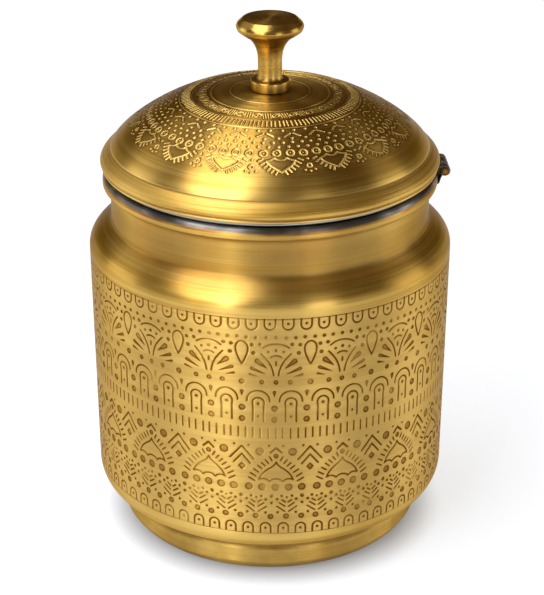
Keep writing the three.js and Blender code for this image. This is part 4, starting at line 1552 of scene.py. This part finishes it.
# %% [markdown]
# ## Floor
# The floor is pale and wide. Lit plainly it would render a little below white, so it adds a small glow of
# its own where the camera, a reflection or glass looks at it. The glow is weakest under the pot and just
# round its foot, which paints a soft shadow ring there on top of the real shadow, and a little stronger far
# away, where the lamps' light has thinned out.

# %% Floor
FLOOR_REACH = 6.0
FLOOR_PAPER = (0.36, 0.39, 0.46, 1)
# Smooth steps of the distance from the pot's axis: start and end in metres, and the glow there
# The low glow round the foot paints a shadow ring on the floor
GLOW_WITH_PAINTED_SHADOW = (0.0455, 0.062, 0.20, 0.76)
FAR_GLOW = (0.4, 1.2, 0.0, 0.24)
corners = [(x * FLOOR_REACH, y * FLOOR_REACH, 0) for x, y in ((-1, -1), (1, -1), (1, 1), (-1, 1))]
floor_mesh = bpy.data.meshes.new("floor")
floor_mesh.from_pydata(corners, [], [(0, 1, 2, 3)])
floor = bpy.data.objects.new("floor", floor_mesh)
bpy.context.scene.collection.objects.link(floor)
paper = bpy.data.materials.new("floor_paper")
paper.use_nodes = True
tree = paper.node_tree
shader = tree.nodes["Principled BSDF"]
shader.inputs["Base Color"].default_value = FLOOR_PAPER
shader.inputs["Roughness"].default_value = 0.9
shader.inputs["Specular IOR Level"].default_value = 0.1


def seen(tree):
    """1 for camera, glossy and transmission rays, and 0 for the rest."""
    path = add(tree, "ShaderNodeLightPath").outputs
    return calc(tree, "MAXIMUM", calc(tree, "MAXIMUM", path["Is Camera Ray"], path["Is Glossy Ray"]),
                path["Is Transmission Ray"])


shader.inputs["Emission Color"].default_value = (1, 1, 1, 1)
place = add(tree, "ShaderNodeTexCoord").outputs["Object"]
away = add(tree, "ShaderNodeVectorMath", {0: place}, operation="LENGTH").outputs["Value"]
glow_with_painted_shadow = plus(tree, ramp(tree, away, *GLOW_WITH_PAINTED_SHADOW), ramp(tree, away, *FAR_GLOW))
tree.links.new(times(tree, seen(tree), glow_with_painted_shadow), shader.inputs["Emission Strength"])
floor_mesh.materials.append(paper)
print("floor", 2 * FLOOR_REACH, "m wide")

# %% [markdown]
# ## Studio light
# Metal shows its surroundings, so the lights are shaped for their reflections. A long, tilted soft box is
# the key light: it hangs over the left front, where it draws the broad bright stripe down the dome and the
# wall. A small front box on the left and a window box on the right add narrower stripes, and the space
# between them stays dim. A box at each side lights the edges, and a weak one behind keeps the back from
# going black. The world is white at the horizon, where the backdrop would be, and a dim brown above.

# %% World
HORIZON = (1.0, 1.0, 1.0, 1)
CEILING = (0.115, 0.080, 0.045, 1)
HORIZON_STEP = (-0.03, 0.16)  # sines of the angle above level
world = bpy.data.worlds.new("studio")
world.use_nodes = True
bpy.context.scene.world = world
tree = world.node_tree
facing = add(tree, "ShaderNodeTexCoord").outputs["Generated"]
rise = add(tree, "ShaderNodeSeparateXYZ", {0: facing}).outputs[2]
sky = blend(tree, ramp(tree, rise, *HORIZON_STEP), HORIZON, CEILING)
tree.links.new(sky, tree.nodes["Background"].inputs["Color"])
print("world", world.name)

# %% Lamps
# name, place seen from the pot as (towards the camera, to its right, up), direction of the long side, width,
# length and brightness
LAMPS = (
    ("key_box", (0.38, -0.49, 0.95), (1.0, -0.45, -0.3), 0.69, 1.9, 4.2),
    ("front_box", (0.88, -0.43, 0.20), (0.0, 0.0, 1.0), 0.13, 0.35, 7.0),
    ("window_box", (0.86, 0.50, 0.20), (0.0, 0.0, 1.0), 0.30, 0.38, 3.4),
    ("side_box", (-0.08, 1.05, 0.26), (0.0, 0.0, 1.0), 0.50, 0.6, 1.7),
    ("left_box", (-0.22, -0.97, 0.24), (0.0, 0.0, 1.0), 0.50, 0.45, 1.8),
    ("rear_box", (-0.50, -0.72, 0.80), (0.0, 0.0, 1.0), 0.9, 0.7, 0.40),
)
towards = np.array([math.sin(CAMERA_AZIMUTH), -math.cos(CAMERA_AZIMUTH), 0])
to_right = np.array([math.cos(CAMERA_AZIMUTH), math.sin(CAMERA_AZIMUTH), 0])
axes = np.stack([towards, to_right, [0, 0, 1]], axis=1)
for name, place, along, wide, tall, bright in LAMPS:
    lamp_data = bpy.data.lights.new(name, "AREA")
    lamp_data.shape = "RECTANGLE"
    lamp_data.size, lamp_data.size_y = wide, tall
    lamp_data.energy = bright * math.pi * wide * tall
    lamp = bpy.data.objects.new(name, lamp_data)
    bpy.context.scene.collection.objects.link(lamp)
    place, along = axes @ np.array(place), axes @ np.array(along)
    back = place / np.linalg.norm(place)
    along = along - back * (along @ back)
    along /= np.linalg.norm(along)
    turn = np.eye(4)
    turn[:3, :3] = np.stack([np.cross(along, back), along, back], axis=1)
    turn[:3, 3] = place + np.array([0, 0, TARGET_HEIGHT])
    lamp.matrix_world = Matrix(turn.tolist())
    print("%-12s %.2f by %.2f m" % (name, wide, tall))
bpy.context.scene.view_settings.view_transform = "Standard"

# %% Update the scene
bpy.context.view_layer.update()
